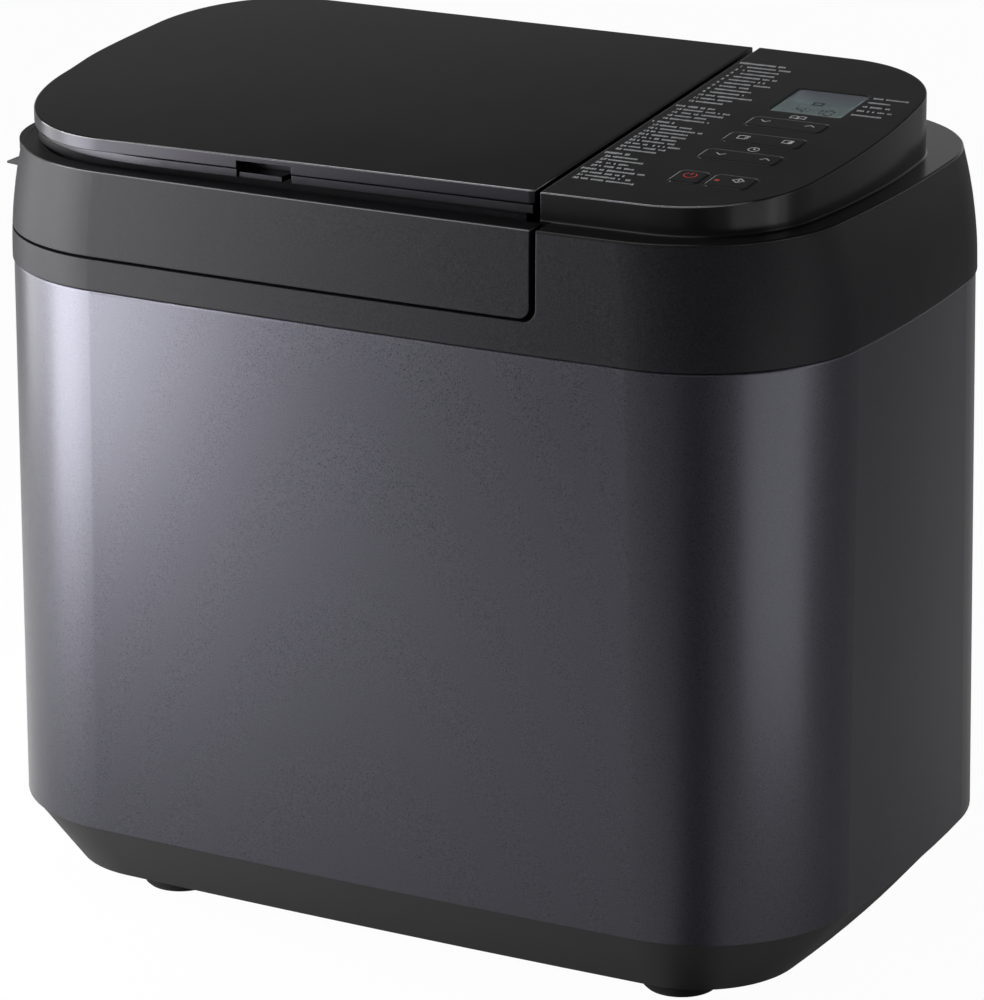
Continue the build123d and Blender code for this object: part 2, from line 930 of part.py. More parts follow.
def heater_clips():
    # Brackets on the chamber floor that carry the heating element
    clips = []
    floor = chamber_floor + chamber_sheet
    top = heater_level + clip_deep
    for side in (-1, 1):
        y = axis_y + side * heater_half_y
        stand = block(axis_x - clip_half, axis_x + clip_half, y - clip_deep, y + clip_deep, floor, top)
        clips.append(stand - rod_x(heater_tube, axis_x - clip_deep, axis_x + clip_deep, y, heater_level))
    x = axis_x - heater_half_x
    stand = block(x - clip_deep, x + clip_deep, axis_y - clip_half, axis_y + clip_half, floor, top)
    clips.append(stand - rod_y(heater_tube, x, axis_y - clip_deep, axis_y + clip_deep, heater_level))
    return Part() + clips


def pan_seat():
    # Collar on the chamber floor that takes the foot of the pan
    floor = chamber_floor + chamber_sheet
    collar = rod(seat_radius + seat_flange, floor, floor + seat_sheet, axis_x, axis_y)
    collar += rod(seat_radius + seat_wall, floor, pan_floor - seat_gap, axis_x, axis_y)
    return collar - rod(seat_radius, 0, far, axis_x, axis_y)


def drive_chassis():
    # Plate on four posts that carries the motor and the main bearing
    plate = rounded(
        chassis_length, chassis_width, chassis_corner, chassis_under, chassis_top, chassis_middle_x, axis_y
    )
    plate -= rod(bearing_radius, 0, far, axis_x, axis_y)
    plate -= rod(motor_spigot, 0, far, motor_x, axis_y)
    for x in chassis_post_x:
        for side in (-1, 1):
            y = axis_y + side * chassis_post_y
            plate += rod(chassis_post_radius, foot_height + base_wall, chassis_under, x, y)
    return plate


def drive_bearing():
    # Flanged bush for the drive shaft
    bush = rod(bearing_radius, chassis_under - bearing_below, chamber_floor + bearing_above, axis_x, axis_y)
    flange_top = chassis_top + bearing_flange_thick
    bush += rod(bearing_radius + bearing_flange, chassis_top, flange_top, axis_x, axis_y)
    return bush - rod(shaft_radius + run_gap, 0, far, axis_x, axis_y)


def motor_vents(z):
    # Ring of cooling windows through the motor can
    window = Box(2 * motor_edge, motor_vent_width, motor_vent_height)
    places = PolarLocations(motor_radius, motor_vent_count)
    return [Pos(motor_x, axis_y, z) * place * window for place in places]


def drive_motor():
    # Vented motor can round its stator, standing on the chassis plate
    inner = motor_radius - motor_wall
    can = rod(motor_radius, chassis_top, motor_top, motor_x, axis_y)
    can = fillet(can.edges().sort_by(Axis.Z)[-1], motor_edge)
    for z0, z1 in ((chassis_top + motor_wall, stator_low), (stator_high, motor_top - motor_edge)):
        can -= rod(inner, z0, z1, motor_x, axis_y)
        can -= motor_vents((z0 + z1) / 2)
    can += rod(motor_boss, motor_top, motor_top + motor_boss_height, motor_x, axis_y)
    can += rod(motor_spigot, chassis_under, chassis_top, motor_x, axis_y)
    return can - rod(motor_shaft_radius + run_gap, 0, chassis_top + motor_shaft_depth + 1, motor_x, axis_y)


def pulley(radius, bore, x):
    # Belt pulley with two flanges
    wheel = rod(radius, pulley_low, pulley_high, x, axis_y)
    for z in (pulley_low, pulley_high - flange_thick):
        wheel += rod(radius + pulley_flange, z, z + flange_thick, x, axis_y)
    return wheel - rod(bore, 0, far, x, axis_y)


def driven_pulley():
    # Large pulley with lightening holes
    wheel = pulley(pulley_radius, shaft_radius, axis_x)
    for place in PolarLocations(relief_ring, relief_count):
        wheel -= Pos(axis_x, axis_y) * place * rod(relief_radius, 0, far)
    return wheel


def motor_pulley():
    # Small pulley on the motor shaft
    return pulley(pinion_radius, motor_shaft_radius, motor_x)


def belt_loop(grow, z0, z1):
    # Prism of the loop round both pulleys
    large = Pos(axis_x, axis_y) * Circle(pulley_radius + grow)
    small = Pos(motor_x, axis_y) * Circle(pinion_radius + grow)
    return Pos(0, 0, z0) * extrude(make_hull(large.edges() + small.edges()), amount=z1 - z0)


def drive_belt():
    # Belt round both pulleys, between their flanges
    z0 = pulley_low + flange_thick + belt_gap
    z1 = pulley_high - flange_thick - belt_gap
    return belt_loop(belt_gap + belt_thick, z0, z1) - belt_loop(belt_gap, z0, z1)


def drive_shaft():
    # Shaft from the large pulley up into the chamber
    return rod(shaft_radius, pulley_low, driver_high, axis_x, axis_y)


def drive_coupling():
    # Cross bar on the shaft's end that turns the pan's coupling
    bar = rounded(driver_length, driver_width, driver_corner, driver_low, driver_high, axis_x, axis_y)
    bar += rod(driver_hub, driver_low, driver_high, axis_x, axis_y)
    return bar - rod(shaft_radius, 0, far, axis_x, axis_y)


def motor_shaft():
    # Steel shaft out of the motor's lower end
    return rod(motor_shaft_radius, pulley_low, chassis_top + motor_shaft_depth, motor_x, axis_y)


def bread_pan():
    # Deep pan with draft, a rolled rim, a foot ring and bosses for the handle
    pan = pan_prism(0, pan_floor, pan_rim)
    pan += rounded(
        pan_width + 2 * pan_rim_reach, pan_depth + 2 * pan_rim_reach, pan_corner + pan_rim_reach,
        pan_rim - pan_rim_roll, pan_rim, axis_x, axis_y,
    )
    foot = rod(pan_foot_radius, pan_floor - pan_foot_drop, pan_floor, axis_x, axis_y)
    pan += foot - rod(pan_foot_radius - pan_foot_wall, 0, far, axis_x, axis_y)
    boss_end = handle_half - handle_bar - handle_gap
    boss = rod_x(pan_boss_radius, pan_width / 2 - pan_rim_roll, boss_end, axis_y, handle_level)
    for piece in both_sides(boss):
        pan += Pos(axis_x) * piece
    pan -= pan_prism(pan_wall, pan_floor + pan_base, pan_rim)
    return pan - rod(bearing_radius, 0, pan_floor + 2 * pan_base, axis_x, axis_y)


def pan_studs():
    # Rivets in the pan's bosses that the handle turns on
    start = handle_half - handle_bar - handle_gap
    head = handle_half + handle_gap
    stud = rod_x(stud_radius, start, head, axis_y, handle_level)
    stud += rod_x(stud_head, head, head + stud_head_thick, axis_y, handle_level)
    return Part() + [Pos(axis_x) * piece for piece in both_sides(stud)]


def pan_bushing():
    # Sealed bush for the shaft in the pan's floor
    bush = rod(bearing_radius, pan_floor, pan_floor + bushing_height, axis_x, axis_y)
    return bush - rod(pan_shaft_radius + run_gap, 0, far, axis_x, axis_y)


def bail_prism(inset):
    # Outline of the handle, drawn in by its bar
    width = 2 * (handle_half - inset)
    depth = 2 * (handle_reach - inset)
    return rounded(width, depth, handle_bend - inset, -handle_height / 2, handle_height / 2)


def pan_handle():
    # Flat bail, folded forward round the pan's rim
    bail = bail_prism(0.0) - bail_prism(handle_bar)
    bail &= block(-far, far, -far, 0, -far, far)
    for eye in both_sides(rod_x(handle_eye, handle_half - handle_bar, handle_half, 0, 0)):
        bail += eye
    bail -= rod_x(stud_radius + run_gap, -far, far, 0, 0)
    return Pos(axis_x, axis_y, handle_level) * bail


def pan_shaft():
    # Shaft through the pan's floor with the two-legged coupling below
    shaft = rod(pan_shaft_radius, follower_low, blade_top, axis_x, axis_y)
    shaft += rod(follower_radius, follower_low, follower_high, axis_x, axis_y)
    x0 = axis_x - follower_half_x
    x1 = axis_x + follower_half_x
    low = driver_low + follower_gap
    for side in (-1, 1):
        y = axis_y + side * follower_reach
        shaft += block(x0, x1, y - follower_half_y, y + follower_half_y, low, follower_leg_top)
    return shaft


def kneading_blade():
    # Paddle with a swept crown, pushed on the pan's shaft
    hub = rod(blade_hub, blade_low, blade_top, axis_x, axis_y)
    with BuildSketch(Plane.XZ) as paddle:
        with BuildLine():
            foot = Line((0, 0), (blade_foot, 0))
            tip = Line(foot @ 1, blade_tip)
            crown = ThreePointArc(tip @ 1, blade_crown, (0, blade_root))
            Line(crown @ 1, foot @ 0)
        make_face()
    seat = Pos(axis_x, axis_y, blade_low)
    fin = seat * extrude(paddle.sketch, amount=blade_half_thick, both=True)
    heel = seat * rounded(heel_length, heel_width, heel_round, 0, heel_height, -heel_offset)
    return hub + fin + heel - rod(pan_shaft_radius, 0, far, axis_x, axis_y)


def lid_space(z0, z1):
    # Space of the lid in plan: a rounded nose across the front and the part beside the console
    nose = block(-far, skirt_right, -far, nose_rear, z0, z1)
    return round_nose(nose, skirt_nose_round) + block(-far, lid_right, nose_rear, lid_rear, z0, z1)


def lid_inside(z0, z1):
    # Space within the lid's walls between two levels
    return ring_solid(lid_wall) & block(-far, lid_right - lid_wall, -far, lid_rear - lid_wall, z0, z1)


def lid_cover():
    # Textured lid: curved skirt, level rim, moat, hollow pedestal under the dispenser lid, hinge ears
    cover = ring_solid(0.0) & lid_space(skirt_foot, rim_level)
    cover -= lid_inside(shelf_top, lid_deck_under)
    cover -= lid_moat()
    cover += pedestal()
    cover -= pedestal_hollow()
    cover -= block(bin_left, bin_right, bin_front, bin_rear, lid_deck_under, far)
    cover += lid_ears() + cover_lugs()
    for row in range(2):
        low = vent_slot_low + row * vent_slot_pitch
        cover -= block(
            -far, vent_slot_reach, vent_front + vent_slot_margin, vent_rear - vent_slot_margin,
            low, low + vent_slot_height,
        )
    return cover


def lid_moat():
    # Space sunk inside the lid's rim, round the pedestal
    face = outline(
        moat_left, top_right, moat_front, moat_rear, moat_corner, plate_bow_x, console_bow_y
    )
    return Pos(0, 0, moat_floor) * extrude(face, amount=lid_over - moat_floor)


def pedestal():
    # Stand under the dispenser lid, stepped down at the rear for the hinge
    stand = plate_prism(pedestal_inset, lid_deck_under, lid_over) & layer(pedestal_depth, far)
    return stand - block(-far, far, trough_front, far, trough_floor, far)


def pedestal_hollow():
    # Space inside the pedestal, open below
    inside = plate_prism(pedestal_inset + lid_wall, lid_deck_under - 1, lid_over)
    inside &= layer(pedestal_depth + lid_wall, far)
    return inside - block(-far, far, trough_front - lid_wall, far, trough_floor - lid_wall, far)


def lid_ears():
    # Bored ears behind the lid that turn on the hinge pins
    ears = []
    for x in lid_ear_places:
        x0 = x - lid_ear_half
        x1 = x + lid_ear_half
        ear = rod_x(lid_ear_radius, x0, x1, lid_axis_y, lid_axis_z)
        low = lid_axis_z - lid_ear_radius
        ear += block(x0, x1, lid_rear - 1, lid_axis_y, low, low + 2 * lid_ear_radius)
        ears.append(ear - rod_x(lid_pin_radius + run_gap, x0 - 1, x1 + 1, lid_axis_y, lid_axis_z))
    return Part() + ears


def cover_axis_z():
    # Height of the dispenser lid's hinge axis
    return top_height(cover_axis_y) - cover_axis_depth


def cover_lugs():
    # Lugs in the trough that hold the dispenser lid's pins
    lugs = []
    z = cover_axis_z()
    y0 = cover_axis_y - cover_lug_radius
    y1 = cover_axis_y + cover_lug_radius
    for x in cover_lug_places:
        x0 = x - cover_lug_half
        x1 = x + cover_lug_half
        lug = rod_x(cover_lug_radius, x0, x1, cover_axis_y, z)
        lug += block(x0, x1, y0, y1, trough_floor - lid_wall / 2, z)
        lugs.append(lug - rod_x(cover_pin_radius, x0 - 1, x1 + 1, cover_axis_y, z))
    return Part() + lugs


def cover_pins():
    # Pins fixed in the lugs
    z = cover_axis_z()
    return Part() + [
        rod_x(cover_pin_radius, x - cover_pin_half, x + cover_pin_half, cover_axis_y, z)
        for x in cover_lug_places
    ]


def lid_liner():
    # Sheet that closes the lid from below, open under the dispenser
    mouth = block(
        bin_left - liner_gap, bin_right + liner_gap, bin_front - liner_gap, bin_rear + liner_gap_rear, 0, far
    )
    return lid_inside(liner_low, liner_high) - mouth


def lid_seal():
    # Soft ring under the liner, over the chamber's flange
    return chamber_prism(seal_outer, seal_low, liner_low) - chamber_prism(seal_inner, seal_low, liner_low)


def steam_vent():
    # Hooded lip along the left skirt over the vent slots
    root = -ring_rim_half_x
    root_z = vent_middle + vent_rise
    profile = Polyline(
        (root, root_z + vent_half),
        (vent_tip, vent_middle + vent_lip_high),
        (vent_tip, vent_middle - vent_lip_low),
        (root, root_z - vent_half),
        close=True,
    )
    lip = Pos(0, vent_rear, 0) * extrude(Plane.XZ * make_face(profile), amount=vent_rear - vent_front)
    return lip - ring_solid(0.0)


def fruit_dispenser():
    # Drop-in bin hung in the pedestal by a sloping flange, with ears for the flap
    bin_box = block(bin_left, bin_right, bin_front, bin_rear, bin_foot, far) & layer(bin_top_depth, far)
    flange = block(
        bin_left - bin_flange, bin_right + bin_flange, bin_front - bin_flange, bin_rear + bin_flange_rear,
        lid_deck_under, far,
    )
    bin_box += flange & layer(bin_top_depth, pedestal_depth)
    bin_box -= block(
        bin_left + bin_wall, bin_right - bin_wall, bin_front + bin_wall, bin_rear - bin_wall, 0, far
    )
    y0 = flap_axis_y - bin_ear_half
    y1 = flap_axis_y + bin_ear_half
    for x in (bin_left, bin_right - bin_wall):
        bin_box += block(x, x + bin_wall, y0, y1, flap_axis_z - bin_ear_drop, bin_foot)
    return bin_box - flap_pin()


def flap_pin():
    # Thin pin across the bin's ears
    return rod_x(flap_pin_radius, bin_left, bin_right, flap_axis_y, flap_axis_z)


def dispenser_flap():
    # Drop flap with ribs and its hinge barrel at the rear
    x0 = bin_left + bin_wall + flap_side_gap
    x1 = bin_right - bin_wall - flap_side_gap
    low = flap_axis_z - flap_thick / 2
    flap = block(x0, x1, flap_front, flap_axis_y, low, low + flap_thick)
    y0 = flap_front + flap_rib_margin
    y1 = flap_axis_y - flap_rib_margin
    for place in range(flap_rib_count):
        x = x0 + (place + 0.5) * (x1 - x0) / flap_rib_count
        flap += block(x - flap_rib_half, x + flap_rib_half, y0, y1, low - flap_rib_drop, low)
    flap += rod_x(flap_barrel, x0, x1, flap_axis_y, flap_axis_z)
    return flap - rod_x(flap_pin_radius + run_gap, x0 - 1, x1 + 1, flap_axis_y, flap_axis_z)


def flap_solenoid():
    # Coil in a yoke on the liner, its plunger towards the bin
    left = coil_left - yoke_sheet
    right = coil_right + yoke_sheet
    front = coil_y - yoke_half
    rear = coil_y + yoke_half
    z = liner_high + yoke_height / 2
    yoke = block(left, right, front, rear, liner_high, liner_high + yoke_height)
    yoke -= block(coil_left, coil_right, front - 1, rear + 1, liner_high + yoke_sheet, far)
    coil = rod_x(coil_radius, coil_left, coil_right, coil_y, z)
    return yoke + coil + rod_x(plunger_radius, plunger_tip, left, coil_y, z)


def finger_recess():
    # Space for a finger in the front edge of the dispenser lid
    return block(recess_left, recess_right, -far, plate_front + recess_reach, rim_level, recess_top)


def dispenser_lid_plate():
    # Gloss plate with a rounded edge and the finger recess at its front
    plate = plate_prism(0.0, rim_level, lid_over) & layer(0, plate_thick)
    top = plate.faces().filter_by(GeomType.PLANE).sort_by(Axis.Z)[-1]
    return fillet(top.edges(), plate_edge) - finger_recess()


def pull_tab():
    # Tongue across the foot of the finger recess
    y0 = plate_front + tab_setback
    tab = block(tab_left, tab_right, y0, plate_front + recess_reach + 1, rim_level, tab_top)
    tab = fillet(tab.edges().filter_by(Axis.Z).group_by(Axis.Y)[0], tab_round)
    return tab & layer(0, frame_depth)


def dispenser_lid_frame():
    # Inner frame under the plate with a shadow groove, the pull tab and the hinge bores
    groove_foot = plate_thick + frame_groove
    frame = plate_prism(frame_inset, rim_level, lid_over) & layer(groove_foot, frame_depth)
    neck = plate_prism(frame_inset + frame_groove_reach, rim_level, lid_over)
    frame += neck & layer(plate_thick, groove_foot)
    frame -= block(
        bin_left - mouth_margin, bin_right + mouth_margin, bin_front - mouth_margin,
        bin_rear + mouth_margin_rear, rim_level, lid_over,
    )
    frame = frame - finger_recess() + pull_tab()
    z = cover_axis_z()
    room = cover_lug_half + cover_lug_gap
    bore = cover_pin_half + 1
    for x in cover_lug_places:
        frame -= block(x - room, x + room, cover_axis_y - 2 * cover_lug_radius, far, rim_level, lid_over)
        frame -= rod_x(cover_pin_radius + run_gap, x - bore, x + bore, cover_axis_y, z)
    return frame


makers = (
    base_tray, feet, body_wrap, rear_panel, cord_gland, upper_housing, lid_hinge_pins, control_console,
    display_lens, display_module, control_board, tact_switches, power_board, baking_chamber,
    temperature_sensor, heating_element, heater_clips, pan_seat, drive_chassis, drive_bearing, drive_motor,
    drive_belt, drive_shaft, driven_pulley, drive_coupling, motor_shaft, motor_pulley, bread_pan, pan_studs,
    pan_bushing, pan_handle, pan_shaft, kneading_blade, lid_cover, lid_liner, lid_seal, steam_vent,
    cover_pins, fruit_dispenser, flap_pin, dispenser_flap, flap_solenoid, dispenser_lid_plate,
    dispenser_lid_frame, program_rocker, option_rocker, timer_rocker, stop_key, start_key, start_lamp,
)
nodes = {make.__name__: make for make in makers}


def main():
    # Write each piece in the frame of the whole machine
    os.makedirs("parts", exist_ok=True)
    for name, make in nodes.items():
        export_step(Pos(frame_shift) * make(), f"parts/{name}.step")
        print(name)


if __name__ == "__main__":
    main()
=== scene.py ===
import bpy
import bmesh
import json
import math
from mathutils import Matrix, Vector
from mathutils.bvhtree import BVHTree


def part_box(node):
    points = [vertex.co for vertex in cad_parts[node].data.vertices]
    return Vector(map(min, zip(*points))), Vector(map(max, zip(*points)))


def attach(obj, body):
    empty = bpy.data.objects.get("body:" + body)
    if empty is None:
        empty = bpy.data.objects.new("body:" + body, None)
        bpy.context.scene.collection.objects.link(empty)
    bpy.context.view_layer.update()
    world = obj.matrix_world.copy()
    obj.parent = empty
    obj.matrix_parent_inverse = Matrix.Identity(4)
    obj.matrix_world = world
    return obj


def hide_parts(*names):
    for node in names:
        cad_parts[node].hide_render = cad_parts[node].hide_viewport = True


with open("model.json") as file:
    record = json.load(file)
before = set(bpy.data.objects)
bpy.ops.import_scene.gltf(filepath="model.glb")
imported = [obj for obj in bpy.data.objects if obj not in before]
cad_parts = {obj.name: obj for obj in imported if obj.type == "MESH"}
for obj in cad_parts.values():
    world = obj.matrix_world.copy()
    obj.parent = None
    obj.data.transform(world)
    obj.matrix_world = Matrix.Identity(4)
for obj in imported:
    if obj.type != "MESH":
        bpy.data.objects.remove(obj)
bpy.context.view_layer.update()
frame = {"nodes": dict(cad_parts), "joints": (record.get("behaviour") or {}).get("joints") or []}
nodes = frame["nodes"]
joints = {joint["name"]: joint for joint in frame["joints"]}
mm = 0.001
print("frame loaded:", len(nodes), "nodes")

# The control panel and the plate share one slope: the stop key presses square to it
panelUp = -Vector(joints["stop_press"]["axis"]).normalized()
panelRise = -panelUp.y / panelUp.z
lensLow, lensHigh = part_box("display_lens")
panelPoint = Vector((lensLow.x, lensHigh.y, lensHigh.z))
bodyMiddle = sum(corner.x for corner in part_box("body_wrap")) / 2
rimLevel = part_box("upper_housing")[1].z


# Shader graphs: a Wire is one socket, and sums on it add Math nodes
def overload(operation):
    def forwards(self, other):
        return self.maths(operation, self, other)

    def reflected(self, other):
        return self.maths(operation, other, self)

    return forwards, reflected


class Wire:
    def __init__(self, graph, socket):
        self.graph = graph
        self.socket = socket

    def maths(self, operation, first, second):
        return self.graph.node("ShaderNodeMath", {"operation": operation}, {0: first, 1: second})

    __add__, __radd__ = overload("ADD")
    __sub__, __rsub__ = overload("SUBTRACT")
    __mul__, __rmul__ = overload("MULTIPLY")
    __truediv__, __rtruediv__ = overload("DIVIDE")


class Graph:
    def __init__(self, tree):
        self.tree = tree
        tree.nodes.clear()

    def node(self, kind, settings=None, sockets=None, out=0):
        made = self.tree.nodes.new(kind)
        for key, value in (settings or {}).items():
            if key == "stops":
                self.setStops(made.color_ramp, value)
            else:
                setattr(made, key, value)
        for key, value in (sockets or {}).items():
            if isinstance(value, Wire):
                self.tree.links.new(value.socket, made.inputs[key])
            else:
                made.inputs[key].default_value = value
        return Wire(self, made.outputs[out]) if made.outputs else None

    def setStops(self, ramp, stops):
        while len(ramp.elements) < len(stops):
            ramp.elements.new(0.5)
        for element, (place, level) in zip(ramp.elements, stops):
            element.position = place
            element.color = (level, level, level, 1)

    def mix(self, factor, first, second):  # two colours
        return self.node("ShaderNodeMix", {"data_type": "RGBA"}, {0: factor, 6: first, 7: second}, 2)

    def ramp(self, factor, *stops):  # grey levels along a value
        return self.node("ShaderNodeValToRGB", {"stops": stops}, {"Fac": factor})

    def noise(self, coords, scale, detail=2.0, roughness=0.5):
        sizes = {"Vector": coords, "Scale": scale, "Detail": detail, "Roughness": roughness}
        return self.node("ShaderNodeTexNoise", {}, sizes)

    def bump(self, height, strength, distance, edge=0.0):  # grain, over softened edges if asked
        sockets = {"Height": height, "Strength": strength, "Distance": distance}
        if edge:
            sockets["Normal"] = self.node("ShaderNodeBevel", {"samples": 6}, {"Radius": edge})
        return self.node("ShaderNodeBump", {}, sockets)

    def random(self, low, high, seed, **extra):
        sockets = {2: low, 3: high, "Seed": seed, **extra}
        return self.node("FunctionNodeRandomValue", {"data_type": "FLOAT"}, sockets, 1)

    def axis(self, coords, number):
        return self.node("ShaderNodeSeparateXYZ", {}, {"Vector": coords}, number)

    def above(self, value, level, blend):  # 0 below a level, 1 above it
        return self.ramp((value - level) / blend + 0.5, (0.0, 0.0), (1.0, 1.0))


def tone(red, green, blue):  # a colour as a screen shows it, 0 to 255
    parts = []
    for level in (red, green, blue):
        share = level / 255
        parts.append(share / 12.92 if share <= 0.04045 else ((share + 0.055) / 1.055) ** 2.4)
    return (*parts, 1)


def newMaterial(name):
    made = bpy.data.materials.new(name)
    made.use_nodes = True
    graph = Graph(made.node_tree)
    coords = graph.node("ShaderNodeTexCoord", out=3)  # Object coordinates
    return made, graph, coords


def closeMaterial(graph, sockets):
    shader = graph.node("ShaderNodeBsdfPrincipled", {}, sockets)
    graph.node("ShaderNodeOutputMaterial", {}, {"Surface": shader})


# Finishes, each named for the surface that wears it
paintLook = {
    "dark": tone(58, 58, 64),
    "light": tone(72, 71, 78),
    "metallic": 0.9,
    "roughness": 0.27,
    "specular": 0.5,
    "coat": 0.08,
    "coatRoughness": 0.24,
    "flakeScale": 2200.0,
    "flakeBump": 0.03,
    "edge": 0.0006,
    "rimUnpaintedShare": 1.0,
}


flakeGrain = {  # how flakes and clouds vary every paint of this kind
    "detail": 1.0,
    "darkBelow": 0.30,
    "lightAbove": 0.72,
    "roughen": 0.10,
    "cloudScale": 22.0,
    "cloudDetail": 3.0,
    "cloudRoughen": 0.02,
    "depth": 0.0002,
}
rimPaintedLight = {  # painted shade and painted highlight: the level rim's top is painted darker, and a lighter band is painted along its front edge
    "topWithin": 0.0002,
    "edgeWithin": 0.0006,
    "blend": 0.0002,
    "frontFrom": 0.118,
    "frontBlend": 0.004,
    "paintedEdgeHighlightTone": tone(124, 123, 127),
}


def makeFlakePaint(name, look):
    grain, rim = flakeGrain, rimPaintedLight
    made, graph, coords = newMaterial(name)
    flake = graph.noise(coords, look["flakeScale"], grain["detail"])
    cloud = graph.noise(coords, grain["cloudScale"], grain["cloudDetail"])
    speck = graph.ramp(flake, (grain["darkBelow"], 0.0), (grain["lightAbove"], 1.0))
    colour = graph.mix(speck, look["dark"], look["light"])
    height = graph.axis(coords, 2)
    forward = 0 - graph.axis(coords, 1)
    # painted shade on the rim's top, and a painted highlight on the band just under it, at the front only
    paintedShadeOnRim = graph.above(height, rimLevel - rim["topWithin"], rim["blend"])
    paintedHighlightOnEdge = graph.above(height, rimLevel - rim["edgeWithin"], rim["blend"]) * (1 - paintedShadeOnRim)
    paintedHighlightOnEdge = paintedHighlightOnEdge * graph.above(forward, rim["frontFrom"], rim["frontBlend"])
    colour = graph.mix((1 - look["rimUnpaintedShare"]) * paintedShadeOnRim, colour, tone(0, 0, 0))
    colour = graph.mix((1 - look["rimUnpaintedShare"]) * paintedHighlightOnEdge, colour, rim["paintedEdgeHighlightTone"])
    roughness = look["roughness"] + grain["roughen"] * speck + grain["cloudRoughen"] * (cloud - 0.5)
    closeMaterial(
        graph,
        {
            "Base Color": colour,
            "Metallic": look["metallic"],
            "Roughness": roughness,
            "Specular IOR Level": look["specular"],
            "Coat Weight": look["coat"],
            "Coat Roughness": look["coatRoughness"],
            "Normal": graph.bump(flake, look["flakeBump"], grain["depth"], look["edge"]),
        },
    )
    return made


ringLook = {
    "dark": tone(17, 16, 19),
    "light": tone(30, 29, 33),
    "metallic": 0.0,
    "roughness": 0.40,
    "specular": 0.12,
    "coat": 0.0,
    "coatRoughness": 0.2,
    "flakeScale": 1300.0,
    "flakeBump": 0.10,
    "edge": 0.0006,
    # the ring keeps 0.6 of the painted shade on its rim's top and of the painted highlight on its front edge
    "rimUnpaintedShare": 0.4,
}
satinLook = {  # the sides of the dispenser lid
    "dark": tone(38, 37, 41),
    "light": tone(47, 46, 50),
    "metallic": 0.85,
    "roughness": 0.30,
    "specular": 0.5,
    "coat": 0.0,
    "coatRoughness": 0.2,
    "flakeScale": 2200.0,
    "flakeBump": 0.03,
    "edge": 0.0004,
    "rimUnpaintedShare": 1.0,
}

mouldedLooks = {  # dark colour, light colour, roughness, grain scale, grain bump
    "baseMatt": (tone(18, 18, 19), tone(27, 27, 28), 0.62, 1100.0, 0.20),
    "footRubber": (tone(5, 5, 6), tone(10, 10, 11), 0.85, 700.0, 0.25),
    "boardGreen": (tone(22, 62, 40), tone(32, 84, 54), 0.45, 260.0, 0.08),
    "switchBlack": (tone(20, 20, 22), tone(32, 32, 34), 0.5, 900.0, 0.10),
    "sealSilicone": (tone(120, 116, 112), tone(140, 136, 131), 0.6, 500.0, 0.12),
    "pulleyNylon": (tone(205, 200, 188), tone(222, 218, 206), 0.48, 420.0, 0.10),
    "binPlastic": (tone(44, 43, 46), tone(58, 57, 60), 0.42, 800.0, 0.12),
    "lampRed": (tone(214, 30, 24), tone(240, 60, 48), 0.25, 600.0, 0.02),
}


mouldedGrain = {
    "detail": 2.0,
    "noiseRoughness": 0.6,
    "patchScale": 18.0,
    "patchDetail": 3.0,
    "grainShare": 0.55,
    "grainRoughen": 0.08,
    "patchRoughen": 0.12,
    "specular": 0.3,
    "depth": 0.0003,
}


def makeMoulded(name, dark, light, roughness, scale, bump):
    look = mouldedGrain
    made, graph, coords = newMaterial(name)
    grain = graph.noise(coords, scale, look["detail"], look["noiseRoughness"])
    patch = graph.noise(coords, look["patchScale"], look["patchDetail"])
    mixed = look["grainShare"] * grain + (1 - look["grainShare"]) * patch
    roughness = roughness + look["patchRoughen"] * (patch - 0.5) + look["grainRoughen"] * (grain - 0.5)
    closeMaterial(
        graph,
        {
            "Base Color": graph.mix(mixed, dark, light),
            "Roughness": roughness,
            "Specular IOR Level": look["specular"],
            "Normal": graph.bump(grain, bump, look["depth"]),
        },
    )
    return made


glossLooks = {  # colour, worn colour, roughness, specular level
    "plateGloss": (tone(22, 22, 23), tone(26, 26, 27), 0.06, 0.5),
    "consoleGloss": (tone(24, 24, 25), tone(30, 30, 31), 0.14, 0.22),
    "keyGloss": (tone(21, 21, 22), tone(26, 26, 27), 0.12, 0.45),
}
wallLook = {"dark": tone(18, 18, 19), "light": tone(22, 22, 23), "metallic": 0.0, "roughness": 0.22}
glossEdge = {
    "bevel": 0.0005,
    "topEdge": 0.0006,
    "blend": 0.0002,
    # width and colour of a painted highlight line along the front of the top's edge
    "paintedHighlightLineEnd": 0.0001,
    "paintedHighlightLineTone": tone(160, 159, 163),
    "acrossFrom": -0.08,
    "acrossBlend": 0.08,
    "forwardFrom": 0.094,
    "forwardBlend": 0.01,
}
glossGrain = {
    "smearScale": 14.0,
    "smearDetail": 4.0,
    "smearNoise": 0.65,
    "smearBetween": (0.35, 0.75),
    "smearRoughen": 0.05,
    "dustScale": 1600.0,
    "dustDetail": 1.0,
    "dustBump": 0.012,
    "depth": 0.0002,
}


